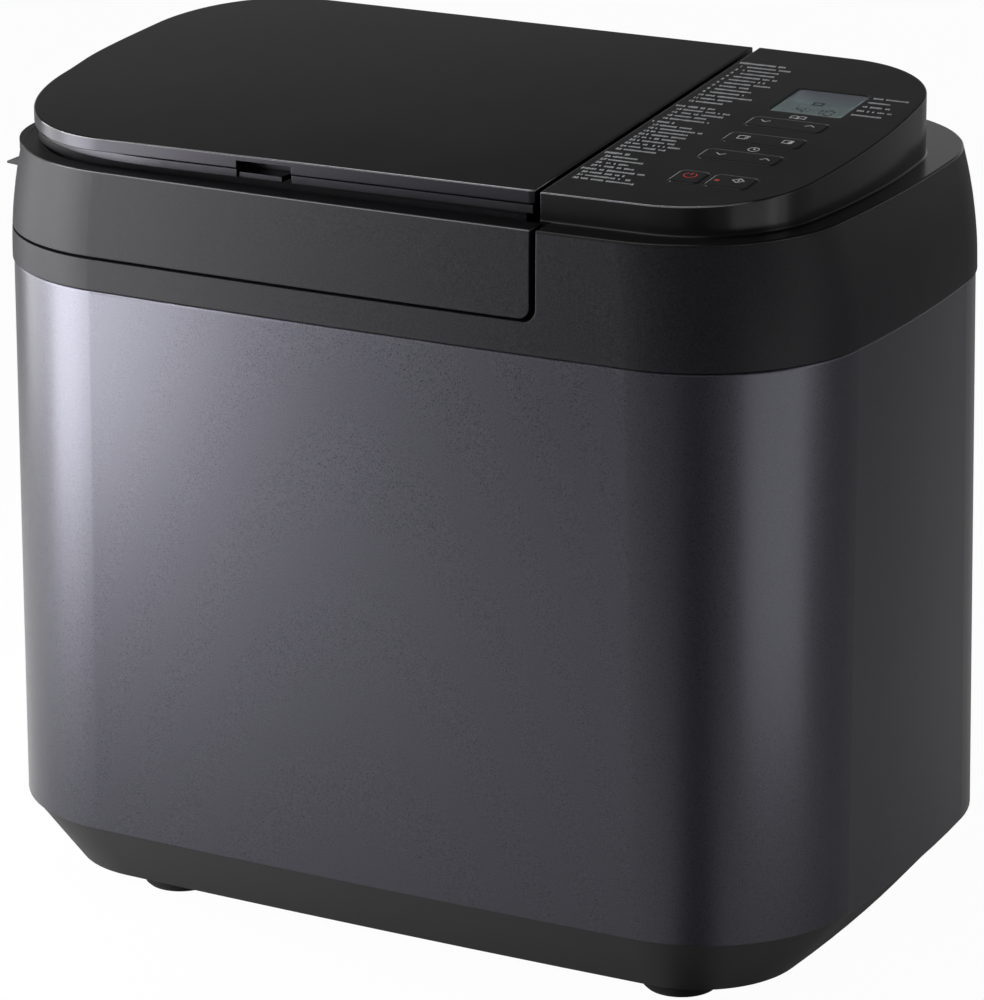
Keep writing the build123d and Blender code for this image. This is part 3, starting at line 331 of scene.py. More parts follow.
def makeGloss(name, colour, worn, roughness, specular):
    edge, grain = glossEdge, glossGrain
    made, graph, coords = newMaterial(name)
    smear = graph.noise(coords, grain["smearScale"], grain["smearDetail"], grain["smearNoise"])
    dust = graph.noise(coords, grain["dustScale"], grain["dustDetail"])
    paint = graph.mix(smear, colour, worn)
    clean, smeared = grain["smearBetween"]
    shine = roughness + grain["smearRoughen"] * graph.ramp(smear, (clean, 0.0), (smeared, 1.0))
    metal = 0.0
    if name != "keyGloss":  # only the top is gloss: the sides are satin, and dull on the console
        away = graph.node("ShaderNodeVectorMath", {"operation": "SUBTRACT"}, {0: coords, 1: panelPoint})
        lift = graph.node("ShaderNodeVectorMath", {"operation": "DOT_PRODUCT"}, {0: away, 1: panelUp}, 1)
        top = graph.above(lift, -edge["topEdge"], edge["blend"])
        side = satinLook if name == "plateGloss" else wallLook
        paint = graph.mix(top, graph.mix(smear, side["dark"], side["light"]), paint)
        shine = top * shine + (1 - top) * side["roughness"]
        metal = (1 - top) * side["metallic"]
        # painted highlight: a bright metallic line where the top turns to the sides, along the front only
        line = top * (1 - graph.above(lift, -edge["paintedHighlightLineEnd"], edge["paintedHighlightLineEnd"]))
        if name == "plateGloss":
            across = graph.axis(coords, 0)
            line = line * graph.above(across, edge["acrossFrom"], edge["acrossBlend"])
        forward = 0 - graph.axis(coords, 1)
        line = line * graph.above(forward, edge["forwardFrom"], edge["forwardBlend"])
        paint = graph.mix(line, paint, edge["paintedHighlightLineTone"])
        metal = metal + line
    closeMaterial(
        graph,
        {
            "Base Color": paint,
            "Metallic": metal,
            "Roughness": shine,
            "Specular IOR Level": specular,
            "Normal": graph.bump(dust, grain["dustBump"], grain["depth"], edge["bevel"]),
        },
    )
    return made


metalLooks = {  # dark colour, light colour, metallic, roughness, streak stretch, bump
    "rearPaint": (tone(60, 59, 64), tone(74, 73, 78), 0.35, 0.5, (1, 1, 1), 0.10),
    "chamberSheet": (tone(168, 166, 162), tone(196, 194, 189), 0.95, 0.34, (1, 1, 12), 0.06),
    "pinSteel": (tone(170, 170, 172), tone(204, 204, 206), 1.0, 0.28, (12, 1, 1), 0.05),
    "heaterOxide": (tone(70, 66, 60), tone(108, 101, 92), 0.8, 0.52, (1, 1, 1), 0.15),
    "chassisZinc": (tone(150, 153, 156), tone(182, 184, 186), 0.9, 0.42, (1, 1, 1), 0.10),
    "panCoating": (tone(56, 56, 60), tone(72, 72, 77), 0.3, 0.42, (1, 1, 1), 0.16),
    "bladeCoating": (tone(50, 50, 54), tone(66, 66, 70), 0.3, 0.40, (1, 1, 1), 0.14),
    "bushBrass": (tone(176, 142, 84), tone(200, 168, 106), 1.0, 0.34, (1, 1, 6), 0.06),
    "motorCan": (tone(110, 112, 116), tone(142, 144, 147), 0.9, 0.44, (1, 1, 8), 0.08),
    "linerMetal": (tone(150, 149, 150), tone(178, 177, 177), 0.9, 0.38, (10, 1, 1), 0.06),
}


metalGrain = {
    "streakScale": 160.0,
    "streakDetail": 4.0,
    "streakNoise": 0.6,
    "tarnishScale": 24.0,
    "tarnishDetail": 3.0,
    "streakShare": 0.6,
    "streakRoughen": 0.08,
    "tarnishRoughen": 0.14,
    "depth": 0.0003,
}


def makeMetal(name, dark, light, metallic, roughness, stretch, bump):
    look = metalGrain
    made, graph, coords = newMaterial(name)
    drawn = graph.node("ShaderNodeMapping", {}, {"Vector": coords, "Scale": stretch})
    streak = graph.noise(drawn, look["streakScale"], look["streakDetail"], look["streakNoise"])
    tarnish = graph.noise(coords, look["tarnishScale"], look["tarnishDetail"])
    mixed = look["streakShare"] * streak + (1 - look["streakShare"]) * tarnish
    roughness = roughness + look["tarnishRoughen"] * (tarnish - 0.5) + look["streakRoughen"] * (streak - 0.5)
    closeMaterial(
        graph,
        {
            "Base Color": graph.mix(mixed, dark, light),
            "Metallic": metallic,
            "Roughness": roughness,
            "Normal": graph.bump(streak, bump, look["depth"]),
        },
    )
    return made


lensLook = {
    "tint": tone(235, 238, 236),
    "roughness": 0.0,
    "smear": 0.02,
    "smearScale": 60.0,
    "smearDetail": 3.0,
    "ior": 1.2,
}


def makeLens(name, look):
    made, graph, coords = newMaterial(name)
    smear = graph.noise(coords, look["smearScale"], look["smearDetail"])
    closeMaterial(
        graph,
        {
            "Base Color": look["tint"],
            "Roughness": look["roughness"] + look["smear"] * smear,
            "Transmission Weight": 1.0,
            "IOR": look["ior"],
        },
    )
    return made


screenLook = {
    "rear": tone(108, 105, 121),
    "front": tone(120, 146, 146),
    "roughness": 0.35,
    "mottleScale": 900.0,
    "mottleDetail": 2.0,
    "mottleTone": 0.08,
    "mottleRoughen": 0.05,
}


def makeScreen(name, look):
    made, graph, coords = newMaterial(name)
    low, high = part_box("display_module")
    place = graph.axis(coords, 1)
    along = (place - low.y) * (1 / (high.y - low.y))
    mottle = graph.noise(coords, look["mottleScale"], look["mottleDetail"])
    fade = along + look["mottleTone"] * (mottle - 0.5)
    closeMaterial(
        graph,
        {
            "Base Color": graph.mix(fade, look["front"], look["rear"]),
            "Roughness": look["roughness"] + look["mottleRoughen"] * mottle,
        },
    )
    return made


inkLooks = {  # pale colour, worn colour
    "printGrey": (tone(220, 220, 224), tone(196, 196, 200)),
    "printRed": (tone(240, 62, 56), tone(214, 50, 46)),
    "segmentInk": (tone(20, 22, 24), tone(30, 32, 33)),
}
inkGrain = {"scale": 420.0, "detail": 3.0, "roughness": 0.5, "roughen": 0.1}


def makeInk(name, colour, worn):
    made, graph, coords = newMaterial(name)
    patch = graph.noise(coords, inkGrain["scale"], inkGrain["detail"])
    roughness = inkGrain["roughness"] + inkGrain["roughen"] * (patch - 0.5)
    closeMaterial(graph, {"Base Color": graph.mix(patch, colour, worn), "Roughness": roughness})
    return made


finishes = {"wrapPaint": makeFlakePaint("wrapPaint", paintLook)}
finishes["ringGrain"] = makeFlakePaint("ringGrain", ringLook)
finishes["frameSatin"] = makeFlakePaint("frameSatin", satinLook)
finishes["screenLens"] = makeLens("screenLens", lensLook)
finishes["screenCell"] = makeScreen("screenCell", screenLook)
for name, look in mouldedLooks.items():
    finishes[name] = makeMoulded(name, *look)
for name, look in glossLooks.items():
    finishes[name] = makeGloss(name, *look)
for name, look in metalLooks.items():
    finishes[name] = makeMetal(name, *look)
for name, look in inkLooks.items():
    finishes[name] = makeInk(name, *look)
print("finishes made:", len(finishes))

# Which finish each carried-over node wears
nodeFinishes = {
    "wrapPaint": ["body_wrap"],
    "rearPaint": ["rear_panel"],
    "ringGrain": ["upper_housing", "lid_cover", "steam_vent"],
    "frameSatin": ["dispenser_lid_frame"],
    "baseMatt": ["base_tray", "cord_gland"],
    "footRubber": ["feet", "drive_belt"],
    "plateGloss": ["dispenser_lid_plate"],
    "consoleGloss": ["control_console"],
    "keyGloss": ["program_rocker", "option_rocker", "timer_rocker", "stop_key", "start_key"],
    "lampRed": ["start_lamp"],
    "screenLens": ["display_lens"],
    "screenCell": ["display_module"],
    "boardGreen": ["control_board", "power_board"],
    "switchBlack": ["tact_switches", "flap_solenoid"],
    "chamberSheet": ["baking_chamber"],
    "pinSteel": ["lid_hinge_pins", "cover_pins", "flap_pin", "temperature_sensor", "drive_shaft"]
    + ["motor_shaft", "pan_shaft", "pan_studs", "pan_handle"],
    "heaterOxide": ["heating_element"],
    "chassisZinc": ["heater_clips", "pan_seat", "drive_chassis", "drive_coupling"],
    "bushBrass": ["drive_bearing", "pan_bushing"],
    "motorCan": ["drive_motor"],
    "pulleyNylon": ["driven_pulley", "motor_pulley"],
    "panCoating": ["bread_pan"],
    "bladeCoating": ["kneading_blade"],
    "linerMetal": ["lid_liner"],
    "sealSilicone": ["lid_seal"],
    "binPlastic": ["fruit_dispenser", "dispenser_flap"],
}
for finish, wearers in nodeFinishes.items():
    for wearer in wearers:
        mesh = nodes[wearer].data
        mesh.materials.clear()
        mesh.materials.append(finishes[finish])
dressed = sum(len(wearers) for wearers in nodeFinishes.values())
print("nodes dressed:", dressed, "of", len(nodes))


def panelMatrix(x, y, lift):  # a place on the panel, x from the body's middle
    origin = Vector((bodyMiddle + x, y, lensHigh.z + (y - lensHigh.y) * panelRise))
    across = Vector((1, 0, 0))
    back = panelUp.cross(across)
    turn = Matrix((across, back, panelUp)).transposed().to_4x4()
    return Matrix.Translation(origin + panelUp * lift) @ turn


def addObject(name, data):
    made = bpy.data.objects.new(name, data)
    bpy.context.scene.collection.objects.link(made)
    return made


def settled(holder):  # the mesh that an object's modifiers make, without the object
    ready = holder.evaluated_get(bpy.context.evaluated_depsgraph_get())
    mesh = bpy.data.meshes.new_from_object(ready)
    bpy.data.objects.remove(holder)
    return mesh


def closeMesh(work, name):
    bmesh.ops.recalc_face_normals(work, faces=work.faces)
    mesh = bpy.data.meshes.new(name)
    work.to_mesh(mesh)
    work.free()
    return mesh


def addPiece(name, mesh, finish, body):
    piece = addObject(name, mesh)
    mesh.materials.clear()
    mesh.materials.append(finishes[finish])
    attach(piece, body)
    return piece


def ribbon(work, points, width, thick, closed):
    # a flat line of constant width as one closed solid
    count = len(points)
    spots = [Vector(point) for point in points]
    rails = []
    for index in range(count):
        before = spots[index - 1] if closed or index else None
        after = spots[(index + 1) % count] if closed or index < count - 1 else None
        into = (spots[index] - before).normalized() if before is not None else None
        outof = (after - spots[index]).normalized() if after is not None else None
        into = into or outof
        outof = outof or into
        along = (into + outof).normalized()
        side = Vector((-along.y, along.x))
        reach = width / 2 / max(0.35, along.dot(outof))
        corners = []
        for sign, level in ((1, 0), (-1, 0), (-1, -thick), (1, -thick)):
            place = spots[index] + side * reach * sign
            corners.append(work.verts.new((place.x, place.y, level)))
        rails.append(corners)
    last = count if closed else count - 1
    for index in range(last):
        one, two = rails[index], rails[(index + 1) % count]
        for edge in range(4):
            work.faces.new((one[edge], one[(edge + 1) % 4], two[(edge + 1) % 4], two[edge]))
    if not closed:
        work.faces.new(rails[0][::-1])
        work.faces.new(rails[-1])


def slab(work, points, thick):
    # a flat shape of any outline as one closed solid
    upper = [work.verts.new((x, y, 0)) for x, y in points]
    lower = [work.verts.new((x, y, -thick)) for x, y in points]
    work.faces.new(upper)
    work.faces.new(lower[::-1])
    for index in range(len(points)):
        after = (index + 1) % len(points)
        work.faces.new((upper[after], upper[index], lower[index], lower[after]))


def scaled(points):
    return [(x * mm, y * mm) for x, y in points]


def arc(radius, start, end, count, x=0.0, y=0.0):
    turns = [math.radians(start + (end - start) * step / count) for step in range(count + 1)]
    return [(x + radius * math.cos(turn), y + radius * math.sin(turn)) for turn in turns]


def markMesh(name, strokes, shapes, width, thick, place):
    # strokes are (points, closed) and shapes are outlines, in metres on the panel
    work = bmesh.new()
    for points, closed in strokes:
        ribbon(work, points, width, thick, closed)
    for points in shapes:
        slab(work, points, thick)
    mesh = closeMesh(work, name)
    mesh.transform(place)
    return mesh


# The dispenser lid: its front left corner is a fuller curve than the arc of the solids
plateLook = {
    "thick": 5.6,
    "edgeRound": 0.6,
    "right": 79.4,
    "rear": 93.5,
    "left": -192.8,
    "leftMiddle": -8.4,
    "frontRight": -109.0,
    "cornerFront": (-126.0, -113.6),  # where the front edge starts to turn
    "cornerSide": (-190.2, -40.0),
    "pullFront": 36.0,
    "pullSide": 43.0,
    "rearCorner": 54.0,
    "recess": ((-58.8, -130.0, 330.0), (-32.8, -101.3, 342.5)),
    "tab": ((-58.6, -110.9, 335.4), (-37.6, -103.0, 337.6)),
}
frameCorner = {  # the frame's rim, under a groove, draws back towards the corner
    "frontRight": -108.8,
    "cornerFront": (-95.0, -112.6),
    "cornerSide": (-190.4, -30.0),
    "pullFront": 55.0,
    "pullSide": 67.0,
    "right": 78.8,
    "rear": 92.9,
    "left": -192.2,
    "edgeRound": 0.0,
    "thick": 3.4,
    "lift": -6.2,
}
frameBounds = {**plateLook, **frameCorner, "right": 100.0, "rear": 120.0, "thick": 20.0, "lift": 4.0}
# Set in by more than its nose turns, this outline crosses itself there, and its cut takes nothing away
frameHole = {**frameBounds, "right": 120.0, "rear": 160.0, "inset": 6.0}
outlineForm = {
    "noseTurn": ((0.0, 2.5), (-0.33, 1.25), (-1.25, 0.33), (-2.5, 0.0)),  # front right corner
    "sideLean": (-0.06, 1.0),
    "flankPull": 12.0,
    "risePull": 16.0,
    "riseIn": 1.4,
    "rearIn": 2.6,
    "rearLean": (0.12, 1.0),
    "rearPull": 0.55,  # share of the rear corner
    "cornerSteps": 40,
    "sideSteps": 8,
    "rearSteps": 24,
}
sharpFrom = 10.0  # degrees between faces that show an edge
cornerShelf = {  # the rim widens where the moat cuts the corner
    "moatCorner": (-135.5, -57.0, 56.5),
    "front": (-121.6, -113.8),
    "frontPull": (-160.0, -112.0),
    "sidePull": (-170.0, -92.0),
    "side": (-191.0, -54.0),
    "thick": 4.0,
    "drop": 0.02,
    "arcFrom": 178,
    "arcTo": 284,
    "arcSteps": 40,
    "edgeSteps": 24,
}


def bezier(start, pull, push, end, count):
    spots = []
    for step in range(count + 1):
        t = step / count
        u = 1 - t
        spots.append(u**3 * start + 3 * u * u * t * pull + 3 * u * t * t * push + t**3 * end)
    return spots


def lidOutline(look):  # from the front right corner, round by the left, to the rear right
    form = outlineForm
    turnStart, turnEnd = Vector(look["cornerFront"]), Vector(look["cornerSide"])
    frontRight = Vector((look["right"], look["frontRight"]))
    along = (turnStart - frontRight).normalized()
    side = Vector((look["left"], look["leftMiddle"]))
    upward = Vector(form["sideLean"]).normalized()
    frontPull = turnStart + along * look["pullFront"]
    sidePull = turnEnd - upward * look["pullSide"]
    corner = bezier(turnStart, frontPull, sidePull, turnEnd, form["cornerSteps"])
    flankPull = Vector((0, form["flankPull"]))
    flank = bezier(turnEnd, turnEnd + upward * form["flankPull"], side - flankPull, side, form["sideSteps"])
    rearTurn = look["rear"] - look["rearCorner"]
    riseStart = side + Vector((0, form["risePull"]))
    riseEnd = Vector((look["left"] + form["riseIn"], rearTurn - form["risePull"]))
    rearSide = Vector((look["left"] + form["rearIn"], rearTurn))
    rise = bezier(side, riseStart, riseEnd, rearSide, form["sideSteps"])
    reach = form["rearPull"] * look["rearCorner"]
    rearLeft = Vector((look["left"] + form["rearIn"] + look["rearCorner"], look["rear"]))
    bendStart = rise[-1] + Vector(form["rearLean"]) * reach
    bend = bezier(rise[-1], bendStart, rearLeft - Vector((reach, 0)), rearLeft, form["rearSteps"])
    nose = [frontRight + Vector(step) for step in form["noseTurn"]]
    rearRight = Vector((look["right"], look["rear"]))
    return nose + corner + flank[1:] + rise[1:] + bend[1:] + [rearRight]


def lidSolid(name, look):
    # a plate under the sloping top, its upper edge rounded by a few short steps
    path = [spot * mm for spot in lidOutline(look)]
    count = len(path)
    inward = []
    for index in range(count):
        run = (path[(index + 1) % count] - path[index - 1]).normalized()
        inward.append(Vector((run.y, -run.x)))
    path = [spot + into * look.get("inset", 0.0) * mm for spot, into in zip(path, inward)]
    radius = look["edgeRound"] * mm
    lift = look.get("lift", 0.0) * mm
    rings = [(0.0, look["thick"] * mm)]
    steps = 3 if radius else 0
    for step in range(steps + 1):
        turn = math.radians(90 * step / steps) if steps else 0.0
        rings.append((radius * (1 - math.cos(turn)), radius * (1 - math.sin(turn))))
    work = bmesh.new()
    loops = []
    for inset, depth in rings:
        loop = []
        for spot, into in zip(path, inward):
            x, y = spot + into * inset
            z = panelPoint.z + (y - panelPoint.y) * panelRise + lift - depth / panelUp.z
            loop.append(work.verts.new((bodyMiddle + x, y, z)))
        loops.append(loop)
    for lower, upper in zip(loops, loops[1:]):
        for index in range(count):
            after = (index + 1) % count
            work.faces.new((lower[index], lower[after], upper[after], upper[index]))
    work.faces.new(loops[0])
    work.faces.new(loops[-1])
    return closeMesh(work, name)


def boxMesh(name, low, high):
    mesh = bpy.data.meshes.new(name)
    work = bmesh.new()
    bmesh.ops.create_cube(work, size=1.0)
    for corner in work.verts:
        for axis in range(3):
            corner.co[axis] = (low[axis] if corner.co[axis] < 0 else high[axis]) * mm
        corner.co.x += bodyMiddle
    work.to_mesh(mesh)
    work.free()
    return mesh


def carve(mesh, cutter, operation):
    block, blade = (addObject(each.name, each) for each in (mesh, cutter))
    knife = block.modifiers.new("carve", "BOOLEAN")
    knife.operation = operation
    knife.solver = "EXACT"
    knife.object = blade
    carved = settled(block)
    bpy.data.objects.remove(blade)
    carved.shade_smooth()
    carved.set_sharp_from_angle(angle=math.radians(sharpFrom))
    return carved


def mergedCopy(node):
    work = bmesh.new()
    work.from_mesh(nodes[node].data)
    bmesh.ops.remove_doubles(work, verts=work.verts, dist=1e-6)
    mesh = bpy.data.meshes.new(node + "Copy")
    work.to_mesh(mesh)
    work.free()
    return mesh


def makeDispenserLid():
    def recessed(mesh):
        return carve(mesh, boxMesh("recess", *plateLook["recess"]), "DIFFERENCE")

    plate = recessed(lidSolid("plate", plateLook))
    piece = addPiece("gloss_plate", plate, "plateGloss", "dispenser_lid")
    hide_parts("dispenser_lid_plate")
    rim = lidSolid("frameRim", {**plateLook, **frameCorner})
    rim = recessed(carve(rim, lidSolid("frameHole", frameHole), "DIFFERENCE"))
    inner = carve(mergedCopy("dispenser_lid_frame"), lidSolid("frameBounds", frameBounds), "INTERSECT")
    frameMesh = carve(recessed(inner), rim, "UNION")
    frameMesh = carve(frameMesh, boxMesh("tab", *plateLook["tab"]), "UNION")
    piece = addPiece("satin_frame", frameMesh, "frameSatin", "dispenser_lid")
    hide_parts("dispenser_lid_frame")


def makeCornerShelf(look):
    x, y, radius = look["moatCorner"]
    outer = arc(radius, look["arcFrom"], look["arcTo"], look["arcSteps"], x, y)
    spots = [Vector(look[key]) for key in ("front", "frontPull", "sidePull", "side")]
    inner = [tuple(spot) for spot in bezier(*spots, look["edgeSteps"])]
    work = bmesh.new()
    slab(work, scaled(outer + inner), look["thick"] * mm)
    mesh = closeMesh(work, "corner_shelf")
    mesh.transform(Matrix.Translation((bodyMiddle, 0, rimLevel - look["drop"] * mm)))
    addPiece("corner_shelf", mesh, "ringGrain", "lid")


makeDispenserLid()
makeCornerShelf(cornerShelf)
print("dispenser lid and rim shaped")

# Icons on the console and its keys, in millimetres round each icon's own middle
markLook = {"line": 0.42, "thick": 0.10, "lift": 0.04, "keyProud": 0.30}
chevronUp = [(-2.1, -0.9), (0.0, 0.9), (2.1, -0.9)]
chevronDown = [(x, -y) for x, y in chevronUp]
pageRight = [(0.2, -1.5), (0.2, 1.3), (1.4, 1.9), (3.3, 1.6), (3.3, -1.2), (1.4, -0.9)]
pageLeft = [(-x, y) for x, y in pageRight]
loafFront = [(-1.8, -1.9), (1.6, -1.9), (1.6, 0.5), (2.0, 1.2), (1.5, 1.9)]
loafFront += [(-1.7, 1.9), (-2.2, 1.2), (-1.8, 0.5)]
loafSide = [(2.5, -1.7), (2.5, 0.6), (2.9, 1.3), (2.3, 2.2)]
crustEdge = [(-2.1, -1.7), (2.1, -1.7), (2.1, 1.7), (-2.1, 1.7)]
crustShade = [(0.2, -1.6), (2.0, -1.6), (2.0, 1.6), (0.9, 1.6)]
clockHands = [(0.0, 1.4), (0.0, 0.0), (1.0, 0.0)]
diamond = [(0.0, 2.4), (2.6, 0.0), (0.0, -2.4), (-2.6, 0.0)]
powerSign = [arc(2.7, 120, 420, 26), [(0.0, 3.0), (0.0, 0.3)]]
icons = {  # body, place from the body's middle, open lines, closed lines, filled shapes
    "programDown": ("program_key", (129.0, 2.2), [chevronDown], [], []),
    "programUp": ("program_key", (149.6, 2.2), [chevronUp], [], []),
    "bookMark": ("housing", (139.6, 11.4), [], [pageLeft, pageRight], []),
    "loafMark": ("option_key", (129.3, -20.2), [loafSide], [loafFront], []),
    "crustMark": ("option_key", (149.6, -19.6), [], [crustEdge], [crustShade]),
    "clockMark": ("housing", (140.1, -32.2), [clockHands], [arc(2.3, 0, 345, 23)], []),
    "timerDown": ("timer_key", (130.1, -42.6), [chevronDown], [], []),
    "timerUp": ("timer_key", (150.4, -42.6), [chevronUp], [], []),
    "stopMark": ("stop_push", (130.4, -71.0), powerSign, [], []),
    "startMark": ("start_push", (151.7, -70.4), [[(0.0, 1.3), (0.0, -1.3)]], [diamond], []),
}


def printIcons(look):
    for name, (body, (x, y), lines, loops, fills) in icons.items():
        lift = look["lift"] + (0.0 if body == "housing" else look["keyProud"])
        strokes = [(scaled(line), False) for line in lines]
        strokes += [(scaled(loop), True) for loop in loops]
        shapes = [scaled(fill) for fill in fills]
        place = panelMatrix(x * mm, y * mm, lift * mm)
        mesh = markMesh(name, strokes, shapes, look["line"] * mm, look["thick"] * mm, place)
        ink = "printRed" if name == "stopMark" else "printGrey"
        addPiece(name, mesh, ink, body)


printIcons(markLook)
print("icons printed:", len(icons))


# Geometry Nodes: a tree with named inputs, and its result as a plain mesh
def growTree(name, inputs):
    tree = bpy.data.node_groups.new(name, "GeometryNodeTree")
    keys = {}
    for label, kind in inputs.items():
        socket = tree.interface.new_socket(label, in_out="INPUT", socket_type="NodeSocket" + kind)
        keys[label] = socket.identifier
    tree.interface.new_socket("Geometry", in_out="OUTPUT", socket_type="NodeSocketGeometry")
    graph = Graph(tree)
    entry = tree.nodes.new("NodeGroupInput")
    wires = {label: Wire(graph, entry.outputs[label]) for label in inputs}
    return tree, graph, wires, keys


def closeTree(graph, shape, material):
    plain = graph.node("GeometryNodeRealizeInstances", {}, {"Geometry": shape})
    dressed = graph.node("GeometryNodeSetMaterial", {}, {"Geometry": plain, "Material": material})
    graph.node("NodeGroupOutput", {}, {"Geometry": dressed})


def bakeTree(name, tree, keys, values, points=()):
    seed = bpy.data.meshes.new(name)
    seed.from_pydata(list(points), [], [])
    holder = addObject(name, seed)
    grower = holder.modifiers.new("grow", "NODES")
    grower.node_group = tree
    for label, value in values.items():
        grower[keys[label]] = value
    return settled(holder)


def makeRowTree():
    # rows of small blocks that read as lines of print, each row of its own length
    tree, graph, wires, keys = growTree(
        "printedRows",
        {
            "Rows": "Int",
            "Letters": "Int",
            "Shortest": "Int",
            "Row Pitch": "Float",
            "Letter Pitch": "Float",
            "Letter Width": "Float",
            "Letter Height": "Float",
            "Thickness": "Float",
            "Seed": "Int",
            "Ink": "Material",
        },
    )
    down = graph.node("ShaderNodeCombineXYZ", {}, {"Y": 0.0 - wires["Row Pitch"]})
    along = graph.node("ShaderNodeCombineXYZ", {}, {"X": wires["Letter Pitch"]})
    rows = graph.node("GeometryNodeMeshLine", {}, {"Count": wires["Rows"], "Offset": down})
    letters = graph.node("GeometryNodeMeshLine", {}, {"Count": wires["Letters"], "Offset": along})
    grid = graph.node("GeometryNodeInstanceOnPoints", {}, {"Points": rows, "Instance": letters})
    spots = graph.node("GeometryNodeRealizeInstances", {}, {"Geometry": grid})
    index = graph.node("GeometryNodeInputIndex")
    share = (index + 0.5) / wires["Letters"]
    row = graph.node("ShaderNodeMath", {"operation": "FLOOR"}, {0: share})
    letter = index - row * wires["Letters"]
    reach = graph.random(wires["Shortest"], wires["Letters"], wires["Seed"], ID=row)
    beyond = graph.node("FunctionNodeCompare", {"operation": "GREATER_THAN"}, {0: letter, 1: reach})
    gap = graph.node(
        "FunctionNodeRandomValue",
        {"data_type": "BOOLEAN"},
        {"Probability": listLook["gapShare"], "Seed": wires["Seed"]},
        3,
    )
    missing = graph.node("FunctionNodeBooleanMath", {"operation": "OR"}, {0: beyond, 1: gap})
    kept = graph.node(
        "GeometryNodeDeleteGeometry", {"domain": "POINT"}, {"Geometry": spots, "Selection": missing}
    )
    tall = graph.random(listLook["lowestLetter"], 1.0, wires["Seed"]) * wires["Letter Height"]
    spans = {"X": wires["Letter Width"], "Y": tall, "Z": wires["Thickness"]}
    size = graph.node("ShaderNodeCombineXYZ", {}, spans)
    block = graph.node("GeometryNodeMeshCube", {}, {"Size": (1, 1, 1)})
    blocks = graph.node(
        "GeometryNodeInstanceOnPoints", {}, {"Points": kept, "Instance": block, "Scale": size}
    )
    closeTree(graph, blocks, wires["Ink"])
    return tree, keys


# The list of programs down the console's left side, and the states beside the screen
listLook = {
    "left": 84.6,
    "numbersAt": 86.2,
    "rowsAt": 90.2,
    "letterPitch": 1.15,
    "letterWidth": 0.56,
    "letterHeight": 1.8,
    "thick": 0.10,
    "lift": 0.04,
    "numberSize": 2.7,
    "numberDrop": 0.33,  # share of the size
    "headingRise": 1.2,
    "gapShare": 0.14,
    "lowestLetter": 0.5,
    "rowSeed": 20,
}
listGroups = [  # heading's y, heading's letters, first row's y, row pitch, rows, longest row
    (71.2, 19, 66.6, 4.55, 12, 20),
    (9.2, 16, 4.9, 4.25, 4, 22),
    (-12.9, 9, -17.2, 4.15, 9, 20),
    (-55.9, 10, -60.1, 4.10, 4, 16),
    (-76.8, 26, -80.8, 3.90, 3, 23),
]
stateList = {
    "left": 159.2,
    "top": 45.4,
    "pitch": 5.7,
    "rows": 5,
    "longest": 14,
    "shortest": 6,
    "seed": 40,
}


def rowMesh(name, tree, keys, rows, longest, shortest, pitch, height, seed):
    values = {
        "Rows": rows,
        "Letters": longest,
        "Shortest": shortest,
        "Row Pitch": pitch * mm,
        "Letter Pitch": listLook["letterPitch"] * mm,
        "Letter Width": listLook["letterWidth"] * mm,
        "Letter Height": height * mm,
        "Thickness": listLook["thick"] * mm,
        "Seed": seed,
        "Ink": finishes["printGrey"],
    }
    return bakeTree(name, tree, keys, values)


def numberMesh(name, first, count, pitch):
    words = bpy.data.curves.new(name, "FONT")
    words.body = "\n".join(str(first + step) for step in range(count))
    words.size = listLook["numberSize"] * mm
    words.space_line = pitch / listLook["numberSize"]
    words.extrude = listLook["thick"] / 2 * mm
    words.resolution_u = 2
    return settled(addObject(name, words))


def printLists():
    tree, keys = makeRowTree()
    height = listLook["letterHeight"]
    number = 1

    def printed(name, mesh, x, y):
        mesh.transform(panelMatrix(x * mm, y * mm, listLook["lift"] * mm))
        addPiece(name, mesh, "printGrey", "housing")

    for index, (headY, headLetters, rowY, pitch, rows, longest) in enumerate(listGroups):
        label, rise = f"listHeading{index + 1}", height * listLook["headingRise"]
        heading = rowMesh(label, tree, keys, 1, headLetters, headLetters, pitch, rise, index)
        printed(heading.name, heading, listLook["left"], headY)
        label, seed = f"listRows{index + 1}", listLook["rowSeed"] + index
        lines = rowMesh(label, tree, keys, rows, longest, longest // 2, pitch, height, seed)
        printed(lines.name, lines, listLook["rowsAt"], rowY)
        numbers = numberMesh(f"listNumbers{index + 1}", number, rows, pitch)
        baseline = rowY - listLook["numberSize"] * listLook["numberDrop"]
        printed(numbers.name, numbers, listLook["numbersAt"], baseline)
        number += rows
    counts = [stateList[key] for key in ("rows", "longest", "shortest", "pitch")]
    states = rowMesh("stateRows", tree, keys, *counts, height, stateList["seed"])
    printed("stateRows", states, stateList["left"], stateList["top"])
    return number - 1


print("programs listed:", printLists())

# Dark segments on the screen cell, under its lens
segmentLook = {
    "digits": "4:10",
    "left": 133.4,
    "low": 19.4,
    "width": 3.5,
    "height": 6.2,
    "pitch": 5.4,
    "colonPitch": 2.6,
    "line": 1.0,
    "thick": 0.06,
    "lift": 0.14,
    "iconAt": (139.6, 32.0),
    "iconScale": (1.15, 0.8),
    "endGap": 0.62,  # share of the line
    "dotLevels": (0.3, 0.7),
    "dotWidth": 0.8,
    "dotHalf": 0.4,
}
segmentsLit = {"0": "abcdef", "1": "bc", "4": "fgbc"}


